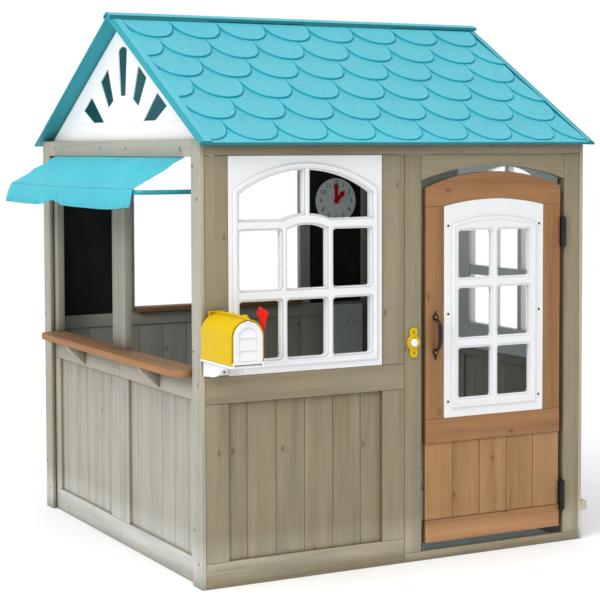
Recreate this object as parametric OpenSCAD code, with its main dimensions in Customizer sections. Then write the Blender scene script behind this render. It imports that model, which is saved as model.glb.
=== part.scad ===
// Wooden playhouse with a moulded gable roof, a fabric serving awning, a hinged door,
// a mailbox, a doorbell and a teaching clock. Millimetres, Z up, front wall facing -Y.
// House coordinates start at the front left corner of the base. Every module is moved
// by put(), so that the part's origin is the centre of its bounding box, on the ground.

/* [House] */
// Width of the front wall, over its corner boards
house_w = 1084; // [1060:1:1110]
// Depth of the side walls
house_d = 1065; // [1045:1:1090]
// Height of the walls, to the top of the headers
wall_h = 1039; // [1030:1:1050]
// Thickness of the framed walls
wall_t = 19; // [18:1:22]
// Thickness of the corner boards
corner_t = 10.5; // [10:0.1:11]
// Width of the corner boards
corner_w = 52; // [48:1:55]
// Width of a wall stile
stile_w = 60; // [57:1:62]
// Gap left between neighbouring boards
seam = 0.3; // [0.2:0.1:0.5]
// Distance between the seams of the wall planks
plank_pitch = 76.2; // [70:0.1:80]

/* [Roof] */
// Pitch of the roof
roof_pitch = 30; // [29:0.5:30]
// Overhang of the roof past the side walls
rake_over = 14.5; // [12:0.5:18]
// Overhang of the eaves past the front and back walls
eave_over = 29.5; // [26:0.5:32]
// Thickness of the moulded roof panels
roof_t = 12; // [10:0.5:12]

/* [Door] */
// Width of the door leaf
door_w = 406; // [400:1:408]
// Thickness of the door leaf
door_t = 16; // [15:1:18]
// Height of the side edges of the door above its bottom edge
door_side_h = 879; // [870:1:882]
// Radius of the hinge pins
pin_r = 2; // [1.8:0.1:2.2]
// Running clearance of the pins, on the radius
fit = 0.05; // [0.03:0.01:0.08]

/* [Counter and awning] */
// Height of the top of the serving counter
counter_z = 506; // [500:1:512]
// How far the counter stands out from the corner boards
counter_out = 42; // [36:1:50]
// How far the fold of the awning stands out from the wall
awning_out = 126; // [118:1:132]
// Width of the awning fabric
awning_w = 863; // [840:1:866]

/* [Mailbox and clock] */
// Width of the mailbox
mail_w = 82; // [78:1:84]
// Length of the mailbox
mail_l = 158; // [150:1:160]
// Diameter of the clock face
clock_d = 140; // [130:1:150]

/* [Hidden] */
$fn = 48;

// Colours
front_wood = [0.60, 0.55, 0.46];
side_wood = [0.69, 0.68, 0.64];
brown_wood = [0.66, 0.48, 0.31];
roof_teal = [0.40, 0.76, 0.83];
white_moulding = [0.94, 0.94, 0.94];
yellow_moulding = [0.95, 0.79, 0.14];
red_moulding = [0.90, 0.12, 0.12];
black_metal = [0.09, 0.09, 0.09];
screw_brass = [0.55, 0.45, 0.30];

// Heights shared by the walls
base_h = 60;                        // top of the bottom rails
mid_z0 = 430;                       // mid rail, bottom
mid_z1 = 492.7;                     // mid rail, top
head_z = 1002.3;                    // bottom of the front and back headers
beam_z = 999;                       // bottom of the side headers and beams
plank_back = 7;                     // how far the planks lie behind the stiles
plank_t = 8;                        // thickness of a plank

// Front wall, from left to right
front_stile = 58.4;                 // width of the first front stile
win_x0 = corner_t + seam + front_stile + 0.3;
panel_x1 = 545;                     // seam between the window panel and the door panel
win_x1 = panel_x1 - stile_w - 2.8;
win_w = win_x1 - win_x0;
door_x1 = 1011.7;
door_x0 = door_x1 - door_w;
jamb_l = 593;                       // inner face of the left jamb
jamb_r = 1025.5;                    // inner face of the right jamb
sill_h = 22;

// Side walls
side_x = 12.4;                      // outer face of the side frames
side_mid = house_d / 2;
side_y0 = wall_t + seam;
side_y1 = house_d - wall_t - seam;
post_w = 43.5;                      // width of the posts above the counter
counter_t = 17.5;

// Roof
tan_p = tan(roof_pitch);
ridge_y = house_d / 2;
eave_top = 1036;
eave_low = 1025.5;
ridge_z = eave_top + (ridge_y + eave_over) * tan_p;
roof_drop = roof_t / cos(roof_pitch);
roof_len = house_w + 2 * rake_over;
cap_rise = 4.6;

// Door
door_z0 = 42;
door_z1 = door_z0 + door_side_h;
door_rise = 39;
door_r = (pow(door_w / 2, 2) + pow(door_rise, 2)) / (2 * door_rise);
door_mid = (door_x0 + door_x1) / 2;
jamb_mid = (jamb_l + jamb_r) / 2;
arch_rise = 36;
arch_z = 939;
arch_r = (pow((jamb_r - jamb_l) / 2, 2) + pow(arch_rise, 2)) / (2 * arch_rise);
door_stile = 53;
door_win_x0 = door_x0 + door_stile;
door_win_x1 = door_x1 - door_stile + 1;
door_win_z0 = 349;
door_win_z1 = 875;
door_win_rise = 17.3;
door_win_r = (pow((door_win_x1 - door_win_x0) / 2, 2) + pow(door_win_rise, 2)) / (2 * door_win_rise);
pin_x = (door_x1 + jamb_r) / 2;
pin_y = -5.5;
hinge_z = [84, 765];                // bottom of each hinge
hinge_h = 75;
knuckle_r = 4.5;

// Mailbox
mail_x = 38.5;
mail_y1 = -4;
mail_y0 = mail_y1 - mail_l;
mail_z0 = 539.3;
mail_spring = 600.5;
mail_wall = 4;
mail_door_t = 4.6;
mail_pin_y = mail_y0 - 3;
mail_pin_z = 542;
flag_pin = [-136, 582];
flag_tip_y = -178.5;

// Clock
clock_x = 940;
clock_z = 856;
board_y = house_d - wall_t + 5;     // inner face of the chalkboards

// Bounding box, which sets the origin
valance_x = -150;
anchor_out = 19;
mid_x = (valance_x + house_w + anchor_out) / 2;
mid_y = (flag_tip_y + house_d + eave_over) / 2;

module put() {
    translate([-mid_x, -mid_y, 0]) children();
}

// A board between two corners
module board(low, high) {
    translate(low) cube([high[0] - low[0], high[1] - low[1], high[2] - low[2]]);
}

// A board pair, mirrored about the middle of the house's width
module both_sides() {
    children();
    translate([house_w, 0, 0]) mirror([1, 0, 0]) children();
}

// Upright planks side by side between x0 and x1, with seams every plank_pitch from first
module plank_row(x0, x1, first, y0, z0, z1) {
    count = floor((x1 - first) / plank_pitch) + 1;
    for (i = [0:count]) {
        left = max(x0, first + (i - 1) * plank_pitch);
        right = min(x1, first + i * plank_pitch);
        if (right - left > 5)
            board([left + seam, y0, z0], [right - seam, y0 + plank_t, z1]);
    }
}

// Turns a wall drawn along X, with its outer face at Y = 0, into the left side wall
module as_left_wall() {
    translate([side_x, 0, 0]) multmatrix([[0, 1, 0, 0], [1, 0, 0, 0], [0, 0, 1, 0], [0, 0, 0, 1]])
        children();
}

// A pane with rounded corners, from its low corner and its size, in X and Z
module pane(x, z, w, h, r) {
    translate([x + r, z + r]) offset(r = r) square([w - 2 * r, h - 2 * r]);
}

// A sharp-cornered pane under a shallow arch
module arched_pane(x, z, w, h, rise) {
    radius = (w * w / 4 + rise * rise) / (2 * rise);
    intersection() {
        translate([x, z]) square([w, h + rise]);
        translate([x + w / 2, z + h + rise - radius]) circle(r = radius, $fn = 180);
    }
}

// ---- Front wall ----

module corner_boards() {
    color(side_wood) put() both_sides() {
        board([0, 0, 0], [corner_t, corner_w, wall_h]);
        board([0, house_d - corner_w, 0], [corner_t, house_d, wall_h]);
    }
}

module front_rails() {
    x0 = corner_t + seam;
    color(front_wood) put() {
        board([x0, 0, 0], [panel_x1 - seam, wall_t, base_h]);
        board([x0, 0, mid_z0], [panel_x1 - seam, wall_t, mid_z1]);
    }
}

module front_stiles() {
    color(front_wood) put() for (z = [[base_h, mid_z0], [mid_z1, head_z]]) {
        board([corner_t + seam, 0, z[0] + seam], [win_x0 - 0.3, wall_t, z[1] - seam]);
        board([win_x1 + 0.3, 0, z[0] + seam], [panel_x1 - seam, wall_t, z[1] - seam]);
    }
}

module front_planks() {
    color(front_wood) put()
        plank_row(win_x0, win_x1, 119.2, plank_back, base_h + seam, mid_z0 - seam);
}

module front_header() {
    color(front_wood) put()
        board([corner_t + seam, 0, head_z + seam], [house_w - corner_t - seam, wall_t, wall_h]);
}

// The moulded window, drawn in house coordinates of the front wall
module window_outline(top) {
    pane_x = [99.7, 224.5, 348];
    pane_w = [108.1, 104.7, 104.6];
    bar_x = 276;
    top_z = 853.5;
    top_h = 58;
    difference() {
        translate([win_x0 + 0.4, mid_z1 + seam]) square([win_w - 0.8, top - mid_z1 - 2 * seam]);
        for (i = [0:2]) {
            pane(pane_x[i], 526.4, pane_w[i], 136.1, 8);
            if (i != 1) pane(pane_x[i], 689, pane_w[i], 138, 8);
        }
        arched_pane(pane_x[1], 689, pane_w[1], 138, 11.7);
        difference() {
            arched_pane(99.7, top_z, 352.9, top_h, 56);
            translate([bar_x - 8.7, top_z]) square([17.4, 130]);
            arched_pane(pane_x[1] - 9, top_z - 5, pane_w[1] + 18, 4, 13);
        }
    }
}

// The window with the flange that overlaps the wall inside the house
module window_unit(top) {
    back = wall_t + 0.3;
    rotate([90, 0, 0]) translate([0, 0, -back]) linear_extrude(back + 2) window_outline(top);
    difference() {
        board([win_x0 - 28, back, mid_z1 - 38], [win_x1 + 28, back + 4, top + 24]);
        board([99.7, back - 1, 526.4], [452.6, back + 5, 967]);
    }
}

module front_window() {
    color(white_moulding) put() window_unit(head_z);
}

module door_jambs() {
    color(front_wood) put() {
        board([panel_x1 + seam, 0, sill_h + seam], [jamb_l, wall_t, head_z - seam]);
        board([jamb_r, 0, sill_h + seam], [house_w - corner_t - seam, wall_t, head_z - seam]);
    }
}

module door_arch() {
    color(front_wood) put() difference() {
        board([jamb_l + seam, 0, arch_z], [jamb_r - seam, wall_t, head_z - seam]);
        translate([jamb_mid, -1, arch_z + arch_rise - arch_r]) rotate([-90, 0, 0])
            cylinder(r = arch_r, h = wall_t + 2, $fn = 180);
    }
}

module door_sill() {
    color(front_wood) put()
        board([panel_x1 + seam, 0, 0], [house_w - corner_t - seam, wall_t, sill_h]);
}

// ---- Left wall with the serving openings ----

module left_rails() {
    low = counter_z - counter_t - 0.2;
    color(side_wood) put() as_left_wall() for (y = [[side_y0, side_mid], [side_mid, side_y1]]) {
        board([y[0], 0, 0], [y[1] - seam, wall_t, base_h]);
        board([y[0], 0, mid_z0 + 2], [y[1] - seam, wall_t, low]);
    }
}

module left_stiles() {
    z = [base_h + seam, mid_z0 + 2 - seam];
    color(side_wood) put() as_left_wall() for (y = [
        [side_y0, side_y0 + 70], [side_mid - stile_w, side_mid - seam],
        [side_mid, side_mid + stile_w], [side_y1 - 70, side_y1 - seam]])
        board([y[0], 0, z[0]], [y[1], wall_t, z[1]]);
}

module left_planks() {
    z = [base_h + seam, mid_z0 + 2 - seam];
    color(side_wood) put() as_left_wall() {
        plank_row(side_y0 + 70.3, side_mid - stile_w - 0.3, 121, plank_back, z[0], z[1]);
        plank_row(side_mid + stile_w + 0.3, side_y1 - 70.3, 629, plank_back, z[0], z[1]);
    }
}

module left_posts() {
    color(side_wood) put() as_left_wall() for (y = [
        side_y0, side_mid - post_w, side_mid + seam, side_y1 - stile_w]) {
        outer = y == side_y0 || y == side_y1 - stile_w;
        board([y, 0, counter_z - counter_t], [y + (outer ? stile_w : post_w - seam), wall_t, beam_z - seam]);
    }
}

module side_headers() {
    color(side_wood) put() both_sides() as_left_wall()
        board([side_y0, 0, beam_z], [side_y1, wall_t, wall_h]);
}

module side_beams() {
    color(side_wood) put() both_sides()
        board([0, corner_w + seam, beam_z], [side_x - 0.2, house_d - corner_w - seam, wall_h]);
}

module counter_shelf() {
    z0 = counter_z - counter_t;
    y0 = 57;
    y1 = house_d - 60;
    corner = 40;
    inner = side_x + wall_t + 3;
    between_posts = [[side_y0 + stile_w + 0.3, side_mid - post_w - 0.3],
        [side_mid + post_w + 0.3, side_y1 - stile_w - 0.3]];
    color(brown_wood) put() translate([0, 0, z0]) linear_extrude(counter_t) union() {
        translate([-counter_out + corner, y0]) square([corner + side_x - corner - 0.3, y1 - y0]);
        translate([-counter_out, y0 + corner]) square([corner, y1 - y0 - 2 * corner]);
        for (y = [y0 + corner, y1 - corner])
            translate([-counter_out + corner, y]) intersection() {
                circle(r = corner, $fn = 96);
                translate([-corner, -corner]) square([corner + 1, 2 * corner]);
            }
        for (y = between_posts) translate([0, y[0]]) square([inner, y[1] - y[0]]);
    }
}

module counter_brackets() {
    top = counter_z - counter_t - 0.2;
    color(side_wood) put() for (y = [side_mid - 252, side_mid + 252])
        translate([0, y + 9.5, 0]) rotate([90, 0, 0]) linear_extrude(19)
            polygon([[side_x - 0.2, top], [-37, top], [-37, top - 8], [side_x - 0.2, top - 52]]);
}

// ---- Right wall with the second window ----

right_shift = 19.5;                 // from the front wall's window to this one
right_seam = right_shift + panel_x1;

module as_right_wall() {
    translate([house_w, 0, 0]) mirror([1, 0, 0]) as_left_wall() children();
}

module right_rails() {
    color(side_wood) put() as_right_wall() for (y = [[side_y0, right_seam], [right_seam, side_y1]]) {
        board([y[0], 0, 0], [y[1] - seam, wall_t, base_h]);
        board([y[0], 0, mid_z0], [y[1] - seam, wall_t, mid_z1]);
    }
}

module right_stiles() {
    color(side_wood) put() as_right_wall()
        for (z = [[base_h, mid_z0], [mid_z1, beam_z]], y = [
            [side_y0, right_shift + win_x0], [right_shift + win_x1 + 0.6, right_seam],
            [right_seam, right_seam + stile_w], [side_y1 - stile_w, side_y1]])
            board([y[0], 0, z[0] + seam], [y[1] - seam, wall_t, z[1] - seam]);
}

module right_planks() {
    near = [right_shift + win_x0, right_shift + win_x1];
    far = [right_seam + stile_w + 0.3, side_y1 - stile_w - 0.3];
    color(side_wood) put() as_right_wall() {
        plank_row(near[0], near[1], 150, plank_back, base_h + seam, mid_z0 - seam);
        plank_row(far[0], far[1], 686, plank_back, base_h + seam, mid_z0 - seam);
        plank_row(far[0], far[1], 686, plank_back, mid_z1 + seam, beam_z - seam);
    }
}

module right_window() {
    color(white_moulding) put() as_right_wall() translate([right_shift, 0, 0]) window_unit(beam_z);
}

// ---- Back wall with the open window and the two chalkboards ----

back_y = house_d - wall_t;
opening = [269, 814];               // open back window
back_stile = [corner_t + seam, 54];
sill_z = 543;

module back_rails() {
    x = [corner_t + seam, house_w - corner_t - seam];
    color(side_wood) put() {
        board([x[0], back_y, 0], [x[1], house_d, base_h]);
        board([x[0], back_y, 506], [x[1], house_d, sill_z - seam]);
    }
}

module back_stiles() {
    z = [[base_h + seam, 506 - seam], [sill_z, head_z - seam]];
    color(side_wood) put() {
        both_sides() for (s = z) board([back_stile[0], back_y, s[0]], [back_stile[1], house_d, s[1]]);
        for (x = [opening[0] - 35, opening[1]])
            board([x, back_y, sill_z], [x + 35, house_d, head_z - seam]);
    }
}

module back_planks() {
    color(side_wood) put() plank_row(back_stile[1] + 0.3, house_w - back_stile[1] - 0.3, 130.5,
        back_y + 4, base_h + seam, 506 - seam);
}

module back_header() {
    color(side_wood) put()
        board([corner_t + seam, back_y, head_z], [house_w - corner_t - seam, house_d, wall_h]);
}

module back_sill() {
    color(brown_wood) put()
        board([opening[0] + seam, back_y - 18, sill_z], [opening[1] - seam, house_d + 18, sill_z + 14.5]);
}

module chalkboards() {
    color([0.08, 0.08, 0.08]) put() both_sides()
        board([back_stile[1] + seam, board_y, sill_z], [opening[0] - 35 - seam, board_y + 6, head_z - seam]);
}

module clock_face() {
    color([0.92, 0.92, 0.92]) put() translate([clock_x, board_y - 0.2, clock_z]) rotate([90, 0, 0])
        difference() {
            cylinder(r = clock_d / 2, h = 6, $fn = 96);
            translate([0, 0, -1]) cylinder(r = 3, h = 8);
        }
}

module clock_spindle() {
    color(red_moulding) put() translate([clock_x, board_y - 0.2, clock_z]) rotate([90, 0, 0]) {
        cylinder(r = 2.9, h = 12);
        translate([0, 0, 11]) cylinder(r = 6, h = 2.5);
    }
}

// A clock hand: a round eye and an arm that ends in an arrow
module hand(reach, depth) {
    translate([clock_x, board_y - depth, clock_z]) rotate([90, 0, 0]) difference() {
        union() {
            cylinder(r = 9, h = 1.4);
            linear_extrude(1.4) polygon([[-5.5, 0], [-5.5, reach - 18], [-11, reach - 18],
                [0, reach], [11, reach - 18], [5.5, reach - 18], [5.5, 0]]);
        }
        translate([0, 0, -1]) cylinder(r = 2.9 + fit, h = 4);
    }
}

module minute_hand() {
    color(red_moulding) put() hand(57, 7.2);
}

module hour_hand() {
    color(red_moulding) put() translate([clock_x, 0, clock_z]) rotate([0, 43, 0])
        translate([-clock_x, 0, -clock_z]) hand(43, 9);
}

module kitchen_panel() {
    color([0.80, 0.80, 0.80]) put() difference() {
        board([905, back_y - 14, 350], [house_w - 58, back_y - 0.3, 535]);
        for (x = [975, 998]) translate([x, back_y - 16, 482]) rotate([-90, 0, 0]) cylinder(r = 4, h = 8);
    }
}

// ---- Gables and roof ----

// A sun ray from four corners, each an offset from the gable's middle and a height
module ray(side, points) {
    polygon([for (p = points) [ridge_y + side * p[0], p[1]]]);
}

module gable_plate() {
    low = wall_h + 0.2;
    foot = 2;
    peak = low + (ridge_y - foot) * tan_p - 1.2;
    rotate([90, 0, 90]) linear_extrude(3) difference() {
        polygon([[foot, low], [house_d - foot, low], [ridge_y, peak]]);
        hull() {
            translate([ridge_y, 1266]) scale([1, 12 / 29]) circle(r = 29, $fn = 32);
            translate([ridge_y - 17.5, 1153.5]) square([35, 2]);
        }
        for (side = [-1, 1]) {
            ray(side, [[102, 1227], [155, 1193.5], [102, 1123.5], [65, 1142.5]]);
            ray(side, [[221, 1155.5], [279.5, 1121], [209, 1087.5], [133, 1087.5]]);
        }
    }
}

module gable_left() {
    color(white_moulding) put() translate([29.5, 0, 0]) gable_plate();
}

module gable_right() {
    color(white_moulding) put() translate([house_w - 32.5, 0, 0]) gable_plate();
}

// Height of the roof's top surface above the ridge line, rounded over at the ridge
function cap_z(y) = ridge_z + cap_rise - tan_p * (sqrt(y * y + 100) - 10);

// One cap segment, on the other panel's side it floats above that panel
module cap(x0, x1) {
    half = 21;
    steps = 12;
    top = [for (i = [0:steps]) let (y = -half + 2 * half * i / steps) [ridge_y + y, cap_z(y)]];
    under = [[ridge_y + half, ridge_z + 0.4 - half * tan_p], [ridge_y, ridge_z + 0.4],
        [ridge_y - half, ridge_z + 0.4 - half * tan_p]];
    translate([x0 + 0.2, 0, 0]) rotate([90, 0, 90]) linear_extrude(x1 - x0 - 0.4)
        polygon(concat(top, under));
}

module roof_slab() {
    translate([-rake_over, 0, 0]) rotate([90, 0, 90]) linear_extrude(roof_len)
        polygon([[-eave_over, eave_low], [-eave_over, eave_top], [ridge_y - 0.2, ridge_z - 0.2 * tan_p],
            [ridge_y - 0.2, ridge_z - roof_drop], [-eave_over + 5.8, eave_low]]);
}

// Bridge that joins a cap to its own panel
module cap_root(x0, x1) {
    translate([x0 + 0.2, 0, 0]) rotate([90, 0, 90]) linear_extrude(x1 - x0 - 0.4)
        polygon([[ridge_y - 21, ridge_z - 21 * tan_p - 2], [ridge_y - 21, ridge_z + 0.6 - 21 * tan_p],
            [ridge_y - 1, ridge_z + 0.6 - tan_p], [ridge_y - 1, ridge_z - 3]]);
}

module roof_panel(first) {
    quarter = roof_len / 4;
    roof_slab();
    for (i = [first, first + 2]) {
        x0 = -rake_over + i * quarter;
        cap(x0, x0 + quarter);
        cap_root(x0, x0 + quarter);
    }
}

module roof_front() {
    color(roof_teal) put() roof_panel(0);
}

module roof_back() {
    color(roof_teal) put() translate([0, house_d, 0]) mirror([0, 1, 0]) roof_panel(1);
}

// ---- Awning ----

tube_r = 5.5;
arm_y = [side_y0 + stile_w + tube_r + 0.3, house_d - side_y0 - stile_w - tube_r - 0.3];
arm_z = 918;
rod_x = -awning_out + 7.5;

module awning_frame() {
    bend = 16;
    color([0.22, 0.63, 0.67]) put() {
        for (side = [0, 1])
            translate([rod_x + bend, arm_y[side] + (side == 0 ? bend : -bend), arm_z]) {
                rotate([0, 0, side == 0 ? 180 : 90]) rotate_extrude(angle = 90)
                    translate([bend, 0]) circle(r = tube_r);
                translate([0, side == 0 ? -bend : bend, 0]) rotate([0, 90, 0])
                    cylinder(r = tube_r, h = 29 - rod_x - bend);
            }
        translate([rod_x, arm_y[0] + bend, arm_z]) rotate([-90, 0, 0])
            cylinder(r = tube_r, h = arm_y[1] - arm_y[0] - 2 * bend);
    }
}

module awning_fabric() {
    y0 = (house_d - awning_w) / 2;
    fold = -awning_out;
    color([0.38, 0.82, 0.88]) put() translate([0, y0 + awning_w, 0]) rotate([90, 0, 0])
        linear_extrude(awning_w) polygon([
            [side_x - 1, beam_z - 0.8], [-1, beam_z - 2.5], [fold, arm_z + 12], [fold - 6, arm_z + 6],
            [valance_x, 876], [valance_x + 5, 874.5], [fold - 1, arm_z + 3], [fold + 4, arm_z + 7.5],
            [0, beam_z - 8.5], [side_x - 1, beam_z - 6]]);
}

module awning_bolts() {
    color(screw_brass) put() for (side = [0, 1])
        translate([22, arm_y[side] + (side == 0 ? tube_r + 0.1 : -tube_r - 3.1), arm_z])
            rotate([-90, 0, 0]) cylinder(r = 5, h = 3);
}

// ---- Door ----

module door_disc(extra) {
    translate([door_mid, -20, door_z1 + door_rise - door_r]) rotate([-90, 0, 0])
        cylinder(r = door_r + extra, h = 60, $fn = 180);
}

module door_stiles() {
    color(brown_wood) put() {
        board([door_x0, 0, door_win_z0 + seam], [door_win_x0, door_t, door_win_z1 - seam]);
        board([door_win_x1, 0, door_win_z0 + seam], [door_x1, door_t, door_win_z1 - seam]);
    }
}

module door_rails() {
    color(brown_wood) put() {
        difference() {
            intersection() {
                board([door_x0, 0, door_win_z1], [door_x1, door_t, door_z1 + door_rise + 1]);
                door_disc(0);
            }
            intersection() {
                board([door_win_x0, -1, door_win_z1 - 1], [door_win_x1, door_t + 1, door_win_z1 + 30]);
                translate([door_mid, -1, door_win_z1 + door_win_rise - door_win_r]) rotate([-90, 0, 0])
                    cylinder(r = door_win_r, h = door_t + 2, $fn = 180);
            }
        }
        board([door_x0, 0, 289], [door_x1, door_t, door_win_z0]);
        board([door_x0, 0, door_z0], [door_x1, door_t, 97]);
    }
}

module door_planks() {
    pitch = door_w / 5;
    color(brown_wood) put() for (i = [0:4])
        board([door_x0 + i * pitch + seam, 2.5, 97 + seam],
            [door_x0 + (i + 1) * pitch - seam, 13, 289 - seam]);
}

module door_window() {
    pane_x = [702.4, 819];
    pane_w = 97.4;
    gap = 0.4;
    color(white_moulding) put() translate([0, 12, 0]) rotate([90, 0, 0]) linear_extrude(14)
        difference() {
            arched_pane(door_win_x0 + gap, door_win_z0 + gap, door_win_x1 - door_win_x0 - 2 * gap,
                door_win_z1 - door_win_z0 - 2 * gap, door_win_rise);
            for (x = pane_x) {
                pane(x, 396.7, pane_w, 123.9, 7);
                pane(x, 547, pane_w, 123, 7);
                pane(x, 696.3, pane_w, 117, 7);
            }
        }
}

module door_handle() {
    x = door_x0 + 28;
    z = 558.5;
    reach = 24;
    half = 36;
    bow_r = (half * half + reach * reach) / (2 * reach);
    sweep = asin(half / bow_r);
    color(black_metal) put() {
        for (s = [0, 180])
            translate([x, -0.2, z]) rotate([90, s, 0]) linear_extrude(2.8) union() {
                translate([0, 41]) circle(r = 8);
                polygon([[-5.5, 46], [0, 59.5], [5.5, 46]]);
            }
        difference() {
            translate([x, bow_r - reach, z]) rotate([0, 90, 0]) rotate([0, 0, -90 - sweep])
                rotate_extrude(angle = 2 * sweep) translate([bow_r, 0]) circle(r = 4.5);
            board([x - 10, -0.3, z - 60], [x + 10, 20, z + 60]);
        }
    }
}

// ---- Door hinges ----

// Part of a hinge knuckle with a web to its leaf, which lies at leaf_x
module knuckle(z0, z1, leaf_x0, leaf_x1) {
    difference() {
        union() {
            translate([pin_x, pin_y, z0]) cylinder(r = knuckle_r, h = z1 - z0);
            board([min(pin_x, leaf_x0), pin_y - 2, z0], [max(pin_x, leaf_x1), pin_y + 2, z1]);
        }
        translate([pin_x, pin_y, z0 - 1]) cylinder(r = pin_r + fit, h = z1 - z0 + 2);
    }
}

module hinge_frame_leaves() {
    third = hinge_h / 3;
    color(black_metal) put() for (z = hinge_z) {
        board([jamb_r - 2.3, pin_y - 2, z], [jamb_r - 0.1, 15, z + hinge_h]);
        knuckle(z, z + third - 0.3, jamb_r - 2.3, jamb_r - 0.1);
        knuckle(z + 2 * third + 0.3, z + hinge_h, jamb_r - 2.3, jamb_r - 0.1);
    }
}

module hinge_door_leaves() {
    third = hinge_h / 3;
    color(black_metal) put() for (z = hinge_z) {
        board([door_x1 + 0.1, pin_y - 2, z], [door_x1 + 2.3, 15, z + hinge_h]);
        knuckle(z + third, z + 2 * third, door_x1 + 0.1, door_x1 + 2.3);
    }
}

module hinge_pins() {
    color(black_metal) put() for (z = hinge_z) {
        translate([pin_x, pin_y, z - 1]) cylinder(r = pin_r, h = hinge_h + 2);
        translate([pin_x, pin_y, z + hinge_h + 0.2]) cylinder(r = 3.4, h = 2.5);
    }
}

// ---- Doorbell ----

bell_x = 569.7;
bell_z = 543;

module doorbell_plate() {
    color(yellow_moulding) put() translate([bell_x, -0.2, bell_z]) rotate([90, 0, 0]) difference() {
        union() {
            cylinder(r = 19, h = 4, $fn = 64);
            for (s = [-1, 1]) translate([0, s * 26, 0]) cylinder(r = 11.5, h = 4);
            translate([-11.5, -26, 0]) cube([23, 52, 4]);
            cylinder(r = 14, h = 6.5, $fn = 64);
        }
        translate([0, 0, -1]) cylinder(r = 10.5 + fit, h = 10, $fn = 64);
    }
}

module doorbell_button() {
    color(white_moulding) put() translate([bell_x, -3.5, bell_z]) rotate([90, 0, 0]) {
        cylinder(r = 10.5, h = 6.5, $fn = 64);
        translate([0, 0, 6.4]) cylinder(r = 8, h = 1.2, $fn = 64);
    }
}

// ---- Mailbox ----

module mail_arch(half, base) {
    union() {
        translate([mail_x - half, base]) square([2 * half, mail_spring - base]);
        translate([mail_x, mail_spring]) circle(r = half, $fn = 96);
    }
}

module mailbox_body() {
    half = mail_w / 2;
    crest = mail_spring + half;
    color(yellow_moulding) put() difference() {
        union() {
            translate([0, mail_y1, 0]) rotate([90, 0, 0]) linear_extrude(mail_l)
                mail_arch(half, mail_z0);
            board([mail_x - 4, mail_y0 - 6, crest - 4], [mail_x + 4, mail_y1 - 4, crest + 5]);
            translate([mail_x - 5, mail_y0 + 3, crest - 2]) rotate([0, 90, 0]) cylinder(r = 8, h = 10);
            board([18, mail_y1 - 1, mail_spring], [59.5, -0.6, 647]);
        }
        translate([0, mail_y1 - mail_wall, 0]) rotate([90, 0, 0])
            linear_extrude(mail_l - mail_wall - 5) mail_arch(half - mail_wall, mail_z0 - 1);
        translate([0, mail_y1 - mail_wall, 0]) rotate([90, 0, 0])
            linear_extrude(mail_l - mail_wall + 6) mail_arch(half - 8, mail_z0 + 5);
        board([0, mail_y0 - 20, mail_z0 - 5], [80, mail_y0, crest - 1.5]);
    }
}

// Room for the window unit, whose edge stands out behind the mailbox's right side
module window_gap() {
    board([win_x0 + 0.1, -2.3, 490], [win_x0 + 20, 0, 545]);
}

module mailbox_base() {
    ear = [[-mail_w / 2 + 0.2, -mail_w / 2 + 4.2], [mail_w / 2 - 4.2, mail_w / 2 - 0.2]];
    color(white_moulding) put() difference() {
        union() {
            board([mail_x - mail_w / 2 - 1, mail_y0 - 1, 533], [mail_x + mail_w / 2 + 1, -0.6, 539]);
            for (e = ear) board([mail_x + e[0], mail_pin_y - 4.5, 533], [mail_x + e[1], mail_y0 - 0.3, 547]);
        }
        window_gap();
        translate([mail_x - 60, mail_pin_y, mail_pin_z]) rotate([0, 90, 0]) cylinder(r = 2 + fit, h = 120);
    }
}

// A thin wall plate with a curved web at each side that carries the mailbox
module mailbox_bracket() {
    web = [[-3, 532.7], [-3, 497], [-38, 500], [-55, 512], [-86, 521], [-108, 524.4], [-134, 529],
        [-152, 532.7]];
    color(white_moulding) put() difference() {
        union() {
            board([4.4, -4, 497], [72.5, -0.6, 532.7]);
            for (x = [4.4, 68.5]) translate([x, 0, 0]) rotate([90, 0, 90]) linear_extrude(4) polygon(web);
        }
        window_gap();
    }
}

module mailbox_door() {
    half = mail_w / 2 - 5.4;
    barrel = mail_door_t / 2;
    color(white_moulding) put() {
        difference() {
            translate([0, mail_pin_y + barrel, 0]) rotate([90, 0, 0]) linear_extrude(mail_door_t)
                mail_arch(half, mail_pin_z);
            for (z = [560, 578, 596])
                board([mail_x - 20, mail_pin_y - 5, z], [mail_x + 20, mail_pin_y - 0.8, z + 14]);
        }
        translate([mail_x - half, mail_pin_y, mail_pin_z]) rotate([0, 90, 0])
            cylinder(r = barrel, h = 2 * half);
        translate([mail_x - half - 3.8, mail_pin_y, mail_pin_z]) rotate([0, 90, 0])
            cylinder(r = 2, h = 2 * half + 7.6);
    }
}

module mailbox_flag() {
    x = mail_x + mail_w / 2 + 1;
    color(red_moulding) put() translate([x, 0, 0]) difference() {
        rotate([90, 0, 90]) linear_extrude(3) union() {
            polygon([[-144, 582], [-128, 582], [-136, 611], [-142.3, 636.8], [-121.3, 644.4], [-136.8, 665.5],
                [flag_tip_y, 656], [-163, 630.9], [-155.3, 608.8]]);
            translate(flag_pin) circle(r = 8);
        }
        translate([-1, flag_pin[0], flag_pin[1]]) rotate([0, 90, 0]) cylinder(r = 3 + fit, h = 6);
    }
}

module flag_pivot() {
    x = mail_x + mail_w / 2;
    color(yellow_moulding) put() translate([x, flag_pin[0], flag_pin[1]]) rotate([0, 90, 0]) {
        translate([0, 0, 0.1]) cylinder(r = 3, h = 5);
        translate([0, 0, 4.3]) cylinder(r = 5, h = 2);
    }
}

// ---- Small pieces ----

// Screw heads on a face that looks along -X, at a list of Y and Z places
module side_heads(places) {
    for (p = places) translate([-0.8, p[0], p[1]]) rotate([0, 90, 0]) cylinder(r = 2.6, h = 0.8);
}

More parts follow.
